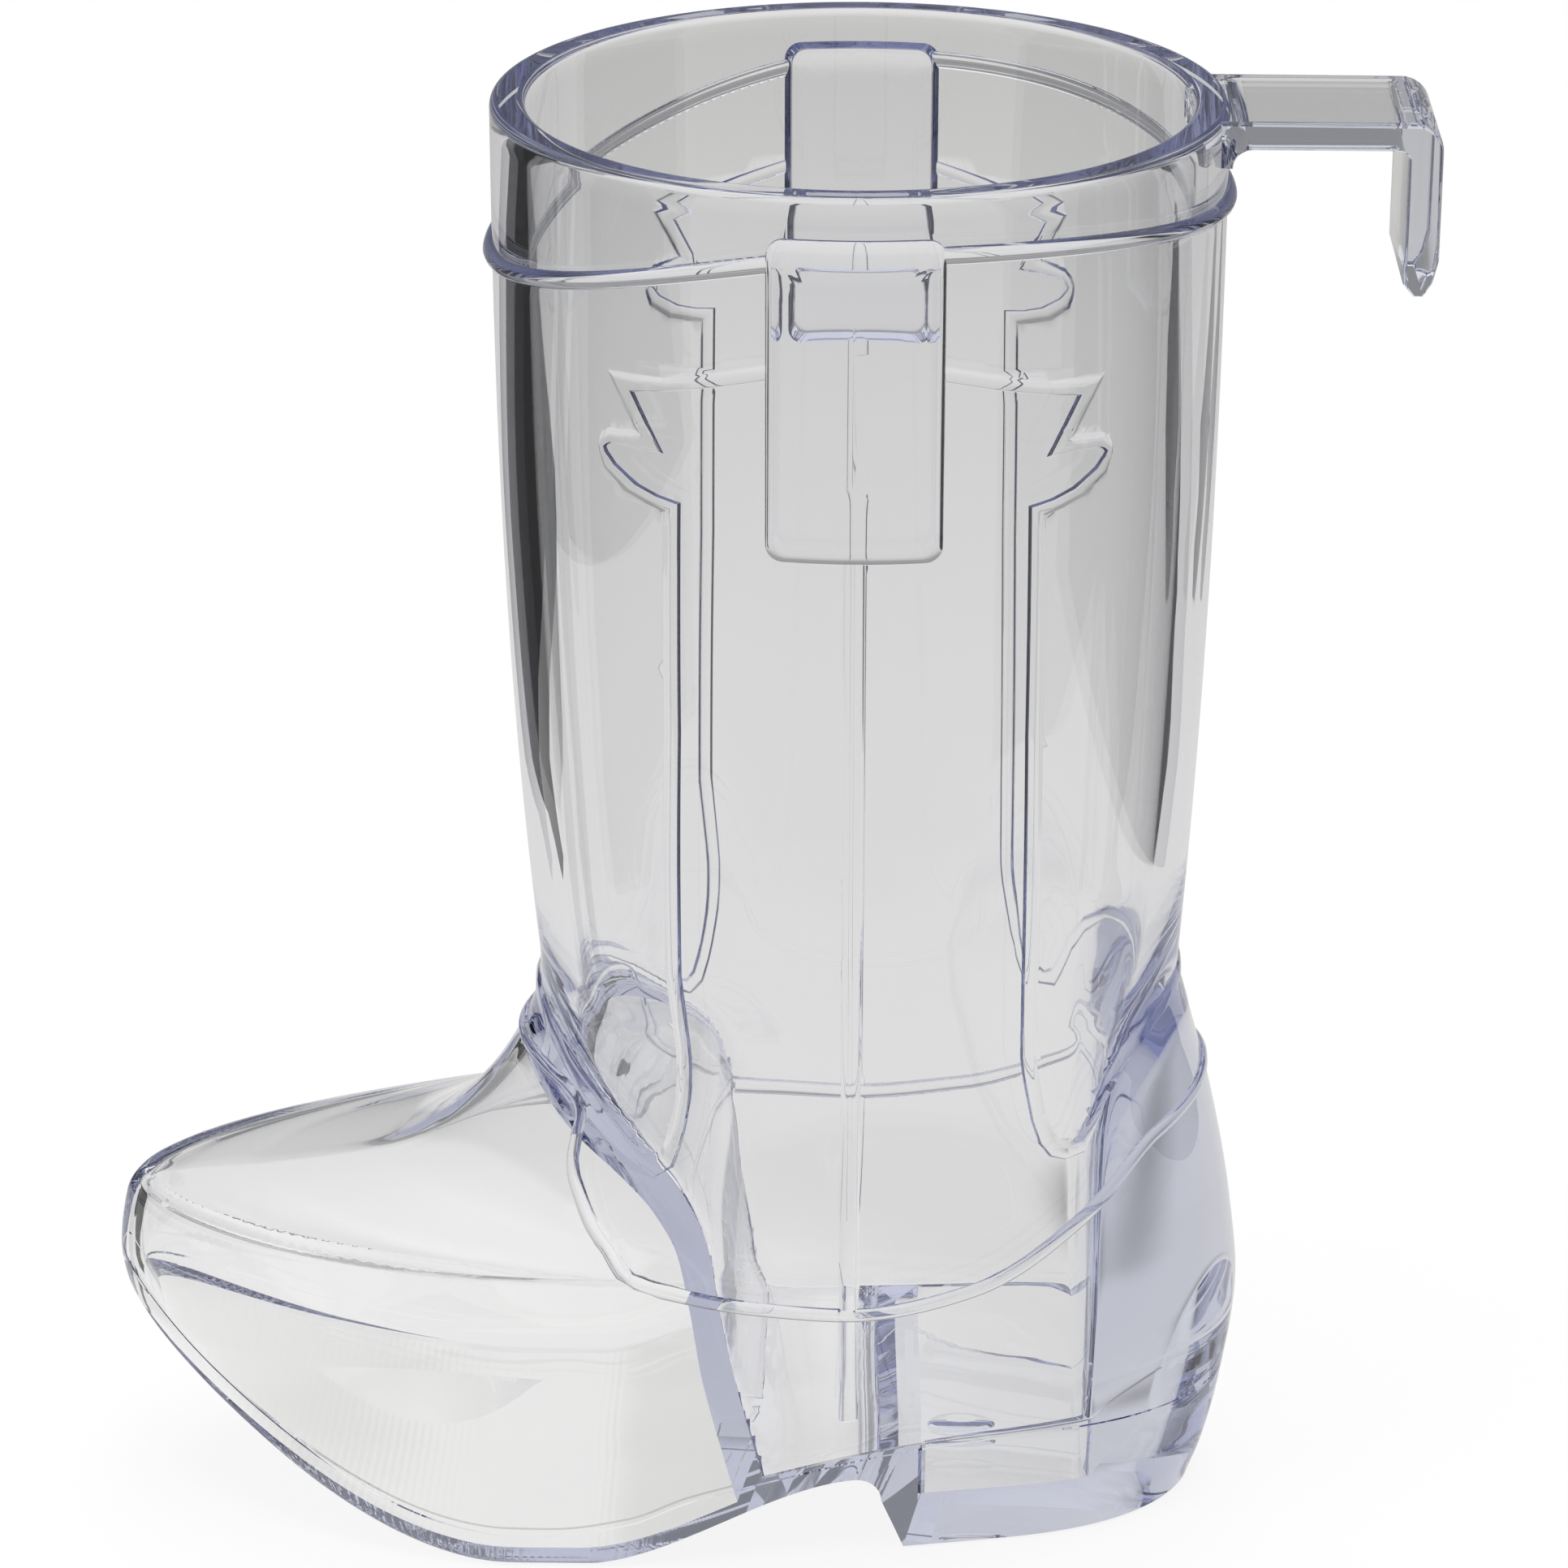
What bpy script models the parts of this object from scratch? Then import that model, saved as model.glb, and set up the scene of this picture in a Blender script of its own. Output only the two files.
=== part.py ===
"""A shot glass in the shape of a western boot, moulded in clear plastic.

Two pieces: the upper, with the drinking well, the hollow toe and the hanging hook, and the sole with its heel,
which closes the upper from below. Sizes are in millimetres until the points become vertices. Heights are above
the table. Lengths x run from the toe (negative) to the heel, with zero on the axis of the shaft, and the boot
is alike on both sides of y = 0.
"""

import math

import bmesh
import bpy
import numpy as np

MM = 0.001

# Overall sizes
HEIGHT = 83.2
RIM_RADIUS = 20.0
TOE_REACH = 42.8
HEEL_REACH = 22.5
BALL_HALF = 13.6

# Walls
WALL = 1.95
TOE_WALL = 1.5
INNER_WALL = 1.8
RIM_ROUND = 0.4
BOND_GAP = 0.3

# Shaft and foot
ANKLE_Z = 33.0
ANKLE_FRONT = 17.9
ANKLE_BACK = 18.55
ANKLE_HALF = 16.7
SHAFT_FLARE = 2.5
INSTEP_HALF = 15.6
TOE_TIP_Z = 13.5
HEEL_BULGE_Z = 12.5
WAIST = 1.5
WAIST_X = 5.0
WAIST_SPAN = 10.0

# Sole and heel
SOLE_THICK = 1.8
SOLE_PLATE = 0.6
BALL_FRONT_X = -22.3
BALL_BACK_X = -15.5
TOE_SPRING = 9.7
SPRING_RUN = 17.7
SHANK_THICK = 1.2
ARCH_X = 0.3
ARCH_ROUND = 1.6
BREAST_X = 3.2
HEEL_HIGH = 7.2
HEEL_FLOOR = 3.0
HEEL_BASE_BACK = 20.1
POCKET_FRONT_X = 4.0

# Drinking well
WELL_KNEE_X = -8.5
WELL_KNEE_Z = 22.0
WELL_FOOT_X = -3.6
WELL_BACK_X = 13.6
WELL_CORNER = 0.6

# Solid tip of the toe: its length at the sole, and how steeply its inner face rises forward
TOE_SOLID = 8.8
TOE_SOLID_RISE = 1.58

# Relief on the outside
COLLAR_DROP = 3.1
COLLAR_FRONT_DIP = 5.3
COLLAR_BACK_DIP = 2.0
COLLAR_WIDE = 1.0
COLLAR_PROUD = 0.5
STRAP_HALF = 4.4
STRAP_TOP_DROP = 2.4
STRAP_LONG = 17.2
STRAP_PROUD = 0.8
STRAP_CORNER = 0.9
SEAM_WIDE = 1.1
SEAM_PROUD = 0.15
SEAM_FOOT_Z = 9.3
BAND_WIDE = 0.9
BAND_PROUD = 0.35
BAND_FRONT_Z = 28.1
BAND_SIDE_Z = 17.2
BAND_BACK_Z = 26.5
SUNK = 0.35

# Hook
HOOK_REACH = 31.2
HOOK_HALF = 5.2
HOOK_ARM = 1.6
HOOK_LEG = 1.95
HOOK_DROP = 9.7
HOOK_CORNER = 1.6
HOOK_TAPER = 2.0
HOOK_CHAMFER = 0.7
HOOK_FILLET = 1.0
HOOK_BELOW_RIM = 0.05

# Fineness of the surfaces
AROUND = 48
STEP = 2.6
BELOW = -2.0
SPREAD = 60.0


def through(points, at):
    """Smooth curve through (position, value) pairs that never swings past them."""
    pairs = sorted(points)
    x = np.array([p for p, _ in pairs])
    y = np.array([v for _, v in pairs])
    width = np.diff(x)
    slope = np.diff(y) / width
    tangent = np.zeros(len(x))
    tangent[0] = slope[0]
    tangent[-1] = slope[-1]
    before = slope[:-1]
    after = slope[1:]
    same = before * after > 0
    w1 = 2 * width[1:] + width[:-1]
    w2 = width[1:] + 2 * width[:-1]
    tangent[1:-1][same] = ((w1 + w2)[same]) / (w1[same] / before[same] + w2[same] / after[same])
    at = np.asarray(at, dtype=float)
    i = np.clip(np.searchsorted(x, at) - 1, 0, len(width) - 1)
    t = np.clip((at - x[i]) / width[i], 0.0, 1.0)
    low = (1 + 2 * t) * (1 - t) ** 2 * y[i] + t * (1 - t) ** 2 * width[i] * tangent[i]
    high = t * t * (3 - 2 * t) * y[i + 1] + t * t * (t - 1) * width[i] * tangent[i + 1]
    return low + high


def flared(ankle, z):
    """A half size of the shaft at height z, from the ankle out to the round rim."""
    t = np.clip((z - ANKLE_Z) / (HEIGHT - ANKLE_Z), 0.0, 1.0)
    return ankle + (RIM_RADIUS - ankle) * (1 - (1 - t) ** SHAFT_FLARE)


def shaped(ankle, foot_points, z):
    """The flared shaft above the ankle and a curve through the foot's points below it."""
    above = ANKLE_Z + 5.0
    points = foot_points + [(ANKLE_Z, ankle), (above, float(flared(ankle, above)))]
    return np.where(z >= ANKLE_Z, flared(ankle, z), through(points, z))


def vamp_point(up, out):
    """A point of the toe's profile: up as a share from toe tip to ankle, out as a share from ankle to toe tip."""
    return (TOE_TIP_Z + up * (ANKLE_Z - TOE_TIP_Z), ANKLE_FRONT + out * (TOE_REACH - ANKLE_FRONT))


def front_x(z):
    """How far the boot reaches forward at height z, as a negative x."""
    foot = [
        (BELOW, ANKLE_FRONT + 0.70 * (TOE_REACH - ANKLE_FRONT)),
        (0.30 * TOE_TIP_Z, ANKLE_FRONT + 0.83 * (TOE_REACH - ANKLE_FRONT)),
        (0.59 * TOE_TIP_Z, ANKLE_FRONT + 0.93 * (TOE_REACH - ANKLE_FRONT)),
        (0.78 * TOE_TIP_Z, ANKLE_FRONT + 0.976 * (TOE_REACH - ANKLE_FRONT)),
        vamp_point(0.0, 1.0),
        vamp_point(0.15, 0.986),
        vamp_point(0.25, 0.945),
        vamp_point(0.27, 0.85),
        vamp_point(0.293, 0.67),
        vamp_point(0.362, 0.365),
        vamp_point(0.46, 0.215),
        vamp_point(0.64, 0.09),
        vamp_point(0.77, 0.035),
        vamp_point(0.88, 0.008),
    ]
    return -shaped(ANKLE_FRONT, foot, z)


def back_x(z):
    """How far the boot reaches back at height z."""
    swell = HEEL_REACH - ANKLE_BACK
    foot = [
        (BELOW, HEEL_BASE_BACK - 0.6),
        (0.0, HEEL_BASE_BACK),
        (0.16 * HEEL_BULGE_Z, 0.3 * HEEL_REACH + 0.7 * HEEL_BASE_BACK),
        (0.5 * HEEL_BULGE_Z, 0.7 * HEEL_REACH + 0.3 * HEEL_BASE_BACK),
        (HEEL_BULGE_Z, HEEL_REACH),
        (HEEL_BULGE_Z + 0.23 * (ANKLE_Z - HEEL_BULGE_Z), ANKLE_BACK + 0.88 * swell),
        (HEEL_BULGE_Z + 0.61 * (ANKLE_Z - HEEL_BULGE_Z), ANKLE_BACK + 0.50 * swell),
        (HEEL_BULGE_Z + 0.82 * (ANKLE_Z - HEEL_BULGE_Z), ANKLE_BACK + 0.20 * swell),
    ]
    return shaped(ANKLE_BACK, foot, z)


def half_y(z):
    """The greatest half width at height z."""
    foot = [
        (BELOW, BALL_HALF),
        (0.0, BALL_HALF),
        (0.2 * ANKLE_Z, 0.75 * BALL_HALF + 0.25 * INSTEP_HALF),
        (0.36 * ANKLE_Z, 0.35 * BALL_HALF + 0.65 * INSTEP_HALF),
        (0.55 * ANKLE_Z, INSTEP_HALF),
        (0.76 * ANKLE_Z, 0.9 * INSTEP_HALF + 0.1 * ANKLE_HALF),
    ]
    return shaped(ANKLE_HALF, foot, z)


def widest_x(z):
    """Where along the boot the greatest half width lies."""
    ball = 0.5 * (BALL_FRONT_X + BALL_BACK_X)
    points = [
        (BELOW, ball),
        (0.09 * ANKLE_Z, 0.94 * ball),
        (0.24 * ANKLE_Z, 0.70 * ball),
        (0.40 * ANKLE_Z, 0.35 * ball),
        (0.55 * ANKLE_Z, 0.12 * ball),
        (0.73 * ANKLE_Z, 0.03 * ball),
        (ANKLE_Z, 0.0),
        (HEIGHT, 0.0),
    ]
    return through(points, z)


def nose(z):
    """How pointed the front is: 1 for an oval, more for a sharper ridge."""
    points = [
        (BELOW, 1.10),
        (0.35 * ANKLE_Z, 1.15),
        (0.60 * ANKLE_Z, 1.25),
        (0.73 * ANKLE_Z, 1.25),
        (0.90 * ANKLE_Z, 1.05),
        (ANKLE_Z, 1.0),
        (HEIGHT, 1.0),
    ]
    return through(points, z)


def tail(z):
    """How square the back is: 2 for an oval, more for a fuller heel."""
    points = [(BELOW, 3.2), (0.2 * ANKLE_Z, 2.8), (0.55 * ANKLE_Z, 2.25), (ANKLE_Z, 2.0), (HEIGHT, 2.0)]
    return through(points, z)


def waist(x, z):
    """How much the shank and heel are drawn in near the sole."""
    depth = through([(BELOW, WAIST), (0.2 * ANKLE_Z, WAIST), (0.5 * ANKLE_Z, 0.0), (HEIGHT, 0.0)], z)
    return depth * np.exp(-((x - WAIST_X) / WAIST_SPAN) ** 2)


def outside(turn, z):
    """Points of the outer surface. Turn is 0 at the toe, half pi at +y and pi at the heel."""
    turn, z = np.broadcast_arrays(np.asarray(turn, dtype=float), np.asarray(z, dtype=float))
    c = np.cos(turn)
    s = np.sin(turn)
    mid = widest_x(z)
    x_front = mid - (mid - front_x(z)) * np.abs(c)
    x_back = mid + (back_x(z) - mid) * np.abs(c) ** (2.0 / tail(z))
    x = np.where(c >= 0, x_front, x_back)
    y = half_y(z) * np.abs(s) ** np.where(c >= 0, nose(z), 1.0)
    y = np.maximum(y - waist(x, z) * np.abs(s), 0.0)
    return np.stack([x, y * np.sign(s), z], axis=-1)


def normals(turn, z):
    """Unit normals of the outer surface, facing out."""
    small = 0.002
    across = outside(turn + small, z) - outside(turn - small, z)
    lift = 0.05
    along = outside(turn, z + lift) - outside(turn, z - lift)
    n = np.cross(across, along)
    n = n / np.maximum(np.linalg.norm(n, axis=-1, keepdims=True), 1e-9)
    out = outside(turn, z)[..., :2] - np.stack([widest_x(z), np.zeros_like(z)], axis=-1)
    flip = np.sum(n[..., :2] * out, axis=-1, keepdims=True) < 0
    return np.where(flip, -n, n)


def turn_at(x, z):
    """The turn on the +y side at which the outer surface has this x."""
    low = np.zeros_like(z)
    high = np.full_like(z, math.pi)
    for _ in range(40):
        mid = 0.5 * (low + high)
        ahead = outside(mid, z)[..., 0] < x
        low = np.where(ahead, mid, low)
        high = np.where(ahead, high, mid)
    return 0.5 * (low + high)


def spring_z(x):
    """How far the toe is bent up at x."""
    d = np.maximum(BALL_FRONT_X - np.asarray(x, dtype=float), 0.0)
    return TOE_SPRING * (d / SPRING_RUN) ** 1.45


def seam_z(x):
    """Height of the top of the sole at x."""
    heel_run = WELL_BACK_X - BALL_BACK_X
    rise = HEEL_HIGH - SOLE_THICK
    points = [
        (-SPREAD, SOLE_THICK),
        (BALL_BACK_X - 1.5, SOLE_THICK),
        (BALL_BACK_X + 0.10 * heel_run, SOLE_THICK + 0.13 * rise),
        (BALL_BACK_X + 0.22 * heel_run, SOLE_THICK + 0.40 * rise),
        (BALL_BACK_X + 0.38 * heel_run, SOLE_THICK + 0.62 * rise),
        (BALL_BACK_X + 0.60 * heel_run, SOLE_THICK + 0.83 * rise),
        (BALL_BACK_X + 0.82 * heel_run, SOLE_THICK + 0.95 * rise),
        (WELL_BACK_X, HEEL_HIGH),
        (SPREAD, HEEL_HIGH),
    ]
    return through(points, x) + spring_z(x)


def arch_z(x):
    """Height of the sole's lower face at x, from the toe to the arch."""
    rise = float(seam_z(ARCH_X)) - SHANK_THICK
    t = np.clip((np.asarray(x, dtype=float) - BALL_BACK_X) / (ARCH_X - BALL_BACK_X), 0.0, 1.0)
    return spring_z(x) + rise * t * t * (3 - 2 * t)


def to_the_arch():
    """Places along the sole at which its lower face and the plate over it are drawn."""
    toe = np.linspace(-TOE_REACH - 6.0, BALL_FRONT_X, 22)
    return np.concatenate([toe, np.linspace(BALL_BACK_X, ARCH_X, 12)])


def underside():
    """Outline of the sole's lower face from the toe to behind the heel, as x and z."""
    rise = float(arch_z(ARCH_X))
    points = [(float(x), float(arch_z(x))) for x in to_the_arch()]
    for turn in np.linspace(0.25, 1.0, 4) * math.pi / 2:
        x = ARCH_X + ARCH_ROUND * math.sin(turn)
        points.append((x, rise - ARCH_ROUND + ARCH_ROUND * math.cos(turn)))
    points.append((BREAST_X, 0.0))
    points.append((SPREAD, 0.0))
    return points


def well_front_x(z):
    """Front limit of the drinking well: the slanted wall over the toe, then clear of the shaft's own wall."""
    ankle = ANKLE_FRONT - WALL
    lower = WELL_FOOT_X - WELL_KNEE_X
    slant = ankle + WELL_KNEE_X
    upper = ANKLE_Z - WELL_KNEE_Z
    points = [
        (BELOW, -WELL_FOOT_X - 0.10 * lower),
        (0.17 * ANKLE_Z, -WELL_FOOT_X + 0.30 * lower),
        (0.36 * ANKLE_Z, -WELL_FOOT_X + 0.57 * lower),
        (0.54 * WELL_KNEE_Z + 0.165 * ANKLE_Z, -WELL_FOOT_X + 0.765 * lower),
        (0.90 * WELL_KNEE_Z, -WELL_FOOT_X + 0.84 * lower),
        (WELL_KNEE_Z, -WELL_KNEE_X),
        (WELL_KNEE_Z + 0.11 * upper, -WELL_KNEE_X + 0.094 * slant),
        (WELL_KNEE_Z + 0.28 * upper, -WELL_KNEE_X + 0.32 * slant),
        (WELL_KNEE_Z + 0.436 * upper, -WELL_KNEE_X + 0.54 * slant),
        (WELL_KNEE_Z + 0.71 * upper, -WELL_KNEE_X + 0.87 * slant),
        (ANKLE_Z, ankle + 0.4),
        (ANKLE_Z + 3.0, ankle + 3.0),
        (HEIGHT + 5.0, RIM_RADIUS + 10.0),
    ]
    return -through(points, z)


def well_back_x(z):
    """Back limit of the drinking well: straight before the thick counter, then clear of the shaft's wall."""
    ankle = ANKLE_BACK - WALL
    points = [
        (BELOW, WELL_BACK_X),
        (0.75 * ANKLE_Z, WELL_BACK_X),
        (0.87 * ANKLE_Z, 0.9 * WELL_BACK_X + 0.1 * ankle),
        (0.95 * ANKLE_Z, 0.68 * WELL_BACK_X + 0.32 * ankle),
        (1.02 * ANKLE_Z, 0.3 * WELL_BACK_X + 0.7 * ankle),
        (ANKLE_Z + 3.0, ankle + 0.8),
        (ANKLE_Z + 6.0, ankle + 4.0),
        (HEIGHT + 5.0, RIM_RADIUS + 10.0),
    ]
    return through(points, z)


def chamber_back_x(z):
    """Back of the hollow toe: the other face of the slanted wall, which thickens above its knee."""
    points = [
        (BELOW - 8.0, 1.05),
        (0.36 * ANKLE_Z, 1.0),
        (0.75 * WELL_KNEE_Z, 0.9),
        (0.90 * WELL_KNEE_Z, 1.0),
        (WELL_KNEE_Z, 1.3),
        (WELL_KNEE_Z + 1.6, 1.9),
        (WELL_KNEE_Z + 3.1, 2.7),
        (ANKLE_Z, 3.6),
    ]
    return well_front_x(np.maximum(z, BELOW)) - INNER_WALL * through(points, z)


def kept_between(x, low, high, soft):
    """Values held between two limits, with a soft turn at each."""
    x = low + 0.5 * (x - low + np.sqrt((x - low) ** 2 + soft * soft))
    return high - 0.5 * (high - x + np.sqrt((high - x) ** 2 + soft * soft))


def walled(z, wall, front, back, soft):
    """A hollow's plan at height z: one wall inside the outer surface, held between a front and a back."""
    turn = turns()
    at = np.full(AROUND, z)
    out = normals(turn, at)[:, :2]
    ring = outside(turn, at)
    ring[:, :2] -= wall * out / np.linalg.norm(out, axis=1, keepdims=True)
    ring[:, 0] = kept_between(ring[:, 0], front, back, soft)
    return ring


def levels(profile, low, high, step):
    """Heights between two limits, spaced by a profile's length: wider on the plain shaft, closer round the toe."""
    fine = np.linspace(low, high, 2000)
    x = profile(fine)
    length = np.hypot(np.diff(x), np.diff(fine))
    length = np.where(fine[1:] > ANKLE_Z + 3.0, 0.45 * length, length)
    toe = np.abs(fine[1:] - TOE_TIP_Z - 2.5) < 4.0
    length = np.where(toe & (x[1:] < -0.8 * TOE_REACH), 2.0 * length, length)
    run = np.concatenate([[0.0], np.cumsum(length)])
    count = max(int(round(run[-1] / step)), 4)
    return np.interp(np.linspace(0.0, run[-1], count + 1), run, fine)


def turns():
    return np.linspace(0.0, 2 * math.pi, AROUND, endpoint=False)


def material(name, colour, roughness):
    """Clear moulded plastic."""
    mat = bpy.data.materials.new(name)
    mat.use_nodes = True
    shader = mat.node_tree.nodes["Principled BSDF"]
    shader.inputs["Base Color"].default_value = (*colour, 1.0)
    shader.inputs["Roughness"].default_value = roughness
    shader.inputs["Metallic"].default_value = 0.0
    shader.inputs["Transmission Weight"].default_value = 1.0
    shader.inputs["IOR"].default_value = 1.59
    return mat


def mesh_object(name, vertices, faces):
    """An object from points in millimetres, with its faces turned outwards."""
    mesh = bpy.data.meshes.new(name)
    mesh.from_pydata([tuple(float(c) * MM for c in v) for v in vertices], [], faces)
    bm = bmesh.new()
    bm.from_mesh(mesh)
    bmesh.ops.recalc_face_normals(bm, faces=bm.faces)
    bm.to_mesh(mesh)
    bm.free()
    obj = bpy.data.objects.new(name, mesh)
    bpy.context.scene.collection.objects.link(obj)
    return obj


def hidden(obj):
    """Marks a cutter or a shape that is joined into another."""
    obj.hide_render = True
    obj.display_type = "WIRE"
    return obj


def stacked(name, rings):
    """A closed solid from rings of points, one above the other."""
    count = len(rings[0])
    vertices = [p for ring in rings for p in ring]
    faces = []
    for i in range(len(rings) - 1):
        for j in range(count):
            k = (j + 1) % count
            faces.append((i * count + j, i * count + k, (i + 1) * count + k, (i + 1) * count + j))
    faces.append(tuple(range(count - 1, -1, -1)))
    faces.append(tuple((len(rings) - 1) * count + j for j in range(count)))
    return mesh_object(name, vertices, faces)


def prism(name, outline, half):
    """A closed outline in x and z, drawn out to both sides."""
    count = len(outline)
    vertices = [(x, -half, z) for x, z in outline] + [(x, half, z) for x, z in outline]
    faces = [(j, (j + 1) % count, count + (j + 1) % count, count + j) for j in range(count)]
    faces.append(tuple(range(count)))
    faces.append(tuple(range(2 * count - 1, count - 1, -1)))
    return mesh_object(name, vertices, faces)


def combine(target, tool, operation):
    """Joins or cuts with an exact Boolean."""
    mod = target.modifiers.new(tool.name, "BOOLEAN")
    mod.operation = operation
    mod.solver = "EXACT"
    mod.object = tool


def boot_form(name):
    """The whole boot as one solid form, from below the table to the rounded rim."""
    turn = turns()
    heights = levels(front_x, BELOW, HEIGHT - RIM_ROUND, STEP)
    rings = [outside(turn, np.full(AROUND, z)) for z in heights]
    top = outside(turn, np.full(AROUND, HEIGHT))
    for bend in np.linspace(0.0, math.pi / 2, 4)[1:]:
        ring = top.copy()
        ring[:, :2] *= (RIM_RADIUS - RIM_ROUND * (1 - math.cos(bend))) / RIM_RADIUS
        ring[:, 2] = HEIGHT - RIM_ROUND + RIM_ROUND * math.sin(bend)
        rings.append(ring)
    return stacked(name, rings)


def inner_form():
    """The boot's form one toe wall inside its outer surface."""
    turn = turns()
    rings = []
    for z in levels(front_x, BELOW, ANKLE_Z + 4.0, STEP):
        at = np.full(AROUND, z)
        rings.append(outside(turn, at) - TOE_WALL * normals(turn, at))
    return hidden(stacked("toe_space", rings))


def toe_side():
    """Outline of the room between the slanted wall and the solid tip of the toe, as x and z."""
    heights = np.concatenate([[BELOW - 8.0], np.linspace(BELOW, ANKLE_Z, 24)])
    points = [(float(x), float(z)) for x, z in zip(chamber_back_x(heights), heights)]
    start = TOE_SOLID - TOE_REACH
    foot = float(seam_z(start)) + 0.2
    ahead = TOE_SOLID + 4.0
    points.append((start - ahead, max(ANKLE_Z, foot + TOE_SOLID_RISE * ahead + 1.0)))
    points.append((start - ahead, foot + TOE_SOLID_RISE * ahead))
    points.append((start, foot))
    points.append((start + 0.8, BELOW - 8.0))
    return points


def toe_chamber():
    """The hollow of the toe, closed at the back by the slanted wall and filled at the tip."""
    room = inner_form()
    front = hidden(prism("toe_side", toe_side(), SPREAD))
    combine(room, front, "INTERSECT")
    return room


def well_ring(z):
    return walled(z, WALL, float(well_front_x(z)), float(well_back_x(z)), WELL_CORNER)


def drinking_well():
    """The cup's inside, from above the rim down through the sole's bond."""
    rings = [well_ring(z) for z in levels(well_front_x, BELOW, HEIGHT - RIM_ROUND, STEP)]
    top = well_ring(HEIGHT - RIM_ROUND)
    for bend in np.linspace(0.0, math.pi / 2, 4)[1:]:
        grown = 1.0 + RIM_ROUND * (1 - math.cos(bend)) / (RIM_RADIUS - WALL)
        ring = top * np.array([grown, grown, 0.0])
        ring[:, 2] = HEIGHT - RIM_ROUND + RIM_ROUND * math.sin(bend)
        rings.append(ring)
    above = rings[-1].copy()
    above[:, 2] = HEIGHT + 2.0
    rings.append(above)
    return hidden(stacked("drinking_well", rings))


def below_seam():
    """Everything under the bond line, cut away from the upper."""
    points = []
    for x in np.linspace(-SPREAD, SPREAD, 90):
        points.append((float(x), float(seam_z(x)) + BOND_GAP))
    points.append((SPREAD, -SPREAD))
    points.append((-SPREAD, -SPREAD))
    return hidden(prism("below_seam", points, SPREAD))


def sole_layer():
    """The layer between the underside and the bond line."""
    points = underside()
    points.append((SPREAD, HEEL_HIGH))
    for x in np.linspace(SPREAD, -TOE_REACH - 6.0, 80)[1:]:
        points.append((float(x), float(seam_z(x))))
    return hidden(prism("sole_layer", points, SPREAD))


def toe_floor():
    """The hollow toe carried down into the sole, to the thin plate that closes it."""
    room = toe_chamber()
    points = [(float(x), float(arch_z(x)) + SOLE_PLATE) for x in to_the_arch()]
    points.append((ARCH_X, TOE_TIP_Z + ANKLE_Z))
    points.append((-TOE_REACH - 6.0, TOE_TIP_Z + ANKLE_Z))
    combine(room, hidden(prism("above_plate", points, SPREAD - 2.0)), "INTERSECT")
    return room


def bar_along(name, turn, z, wide, proud, closed):
    """A raised line on the outer surface, sunk into the wall at its root."""
    centre = outside(turn, z)
    out = normals(turn, z)
    if closed:
        ahead = np.roll(centre, -1, axis=0) - np.roll(centre, 1, axis=0)
    else:
        ahead = np.gradient(centre, axis=0)
    side = np.cross(out, ahead)
    side = side / np.linalg.norm(side, axis=1, keepdims=True)
    root = 0.5 * wide * side
    crest = 0.32 * wide * side
    rows = [centre - root - SUNK * out, centre + root - SUNK * out,
            centre + root, centre + crest + proud * out,
            centre - crest + proud * out, centre - root]
    count = len(centre)
    vertices = [p for row in rows for p in row]
    faces = []
    for r in range(6):
        q = (r + 1) % 6
        for i in range(count if closed else count - 1):
            k = (i + 1) % count
            faces.append((r * count + i, r * count + k, q * count + k, q * count + i))
    if not closed:
        faces.append(tuple(r * count for r in range(6)))
        faces.append(tuple(r * count + count - 1 for r in range(5, -1, -1)))
    return hidden(mesh_object(name, vertices, faces))


def collar_z(turn):
    """Height of the collar band's middle: high at the straps, low at the front."""
    ahead = np.cos(turn)
    dip = np.where(ahead > 0, COLLAR_FRONT_DIP * np.abs(ahead) ** 1.5, COLLAR_BACK_DIP * np.abs(ahead) ** 3)
    return HEIGHT - COLLAR_DROP - dip


def collar_band():
    turn = turns()
    return bar_along("collar_band", turn, collar_z(turn), COLLAR_WIDE, COLLAR_PROUD, True)


def ankle_band():
    """The line between foot and shaft, which hangs down in a deep loop on each side."""
    deep = BAND_FRONT_Z - BAND_SIDE_Z
    lift = BAND_BACK_Z - BAND_SIDE_Z
    loop = [
        (0.0, BAND_FRONT_Z),
        (0.35, BAND_FRONT_Z - 0.04 * deep),
        (0.60, BAND_FRONT_Z - 0.10 * deep),
        (0.80, BAND_FRONT_Z - 0.20 * deep),
        (1.00, BAND_FRONT_Z - 0.47 * deep),
        (1.20, BAND_FRONT_Z - 0.75 * deep),
        (1.36, BAND_FRONT_Z - 0.91 * deep),
        (1.65, BAND_SIDE_Z),
        (1.91, BAND_SIDE_Z + 0.13 * lift),
        (2.21, BAND_SIDE_Z + 0.49 * lift),
        (2.56, BAND_SIDE_Z + 0.88 * lift),
        (math.pi, BAND_BACK_Z),
    ]
    fine = np.linspace(0.0, math.pi, 400)
    line = outside(fine, through(loop, fine))
    run = np.concatenate([[0.0], np.cumsum(np.linalg.norm(np.diff(line, axis=0), axis=1))])
    near = np.interp(np.linspace(0.0, run[-1], AROUND // 2 + 5), run, fine)
    turn = np.concatenate([near, -near[-2:0:-1]])
    return bar_along("ankle_band", turn, through(loop, np.abs(turn)), BAND_WIDE, BAND_PROUD, True)


def side_seam(name, side):
    """The upright seam from the strap down to just above the sole."""
    z = np.linspace(HEIGHT - STRAP_TOP_DROP - STRAP_LONG + 1.0, SEAM_FOOT_Z, 16)
    turn = turn_at(np.zeros_like(z), z)
    return bar_along(name, side * turn, z, SEAM_WIDE, SEAM_PROUD, False)


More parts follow.
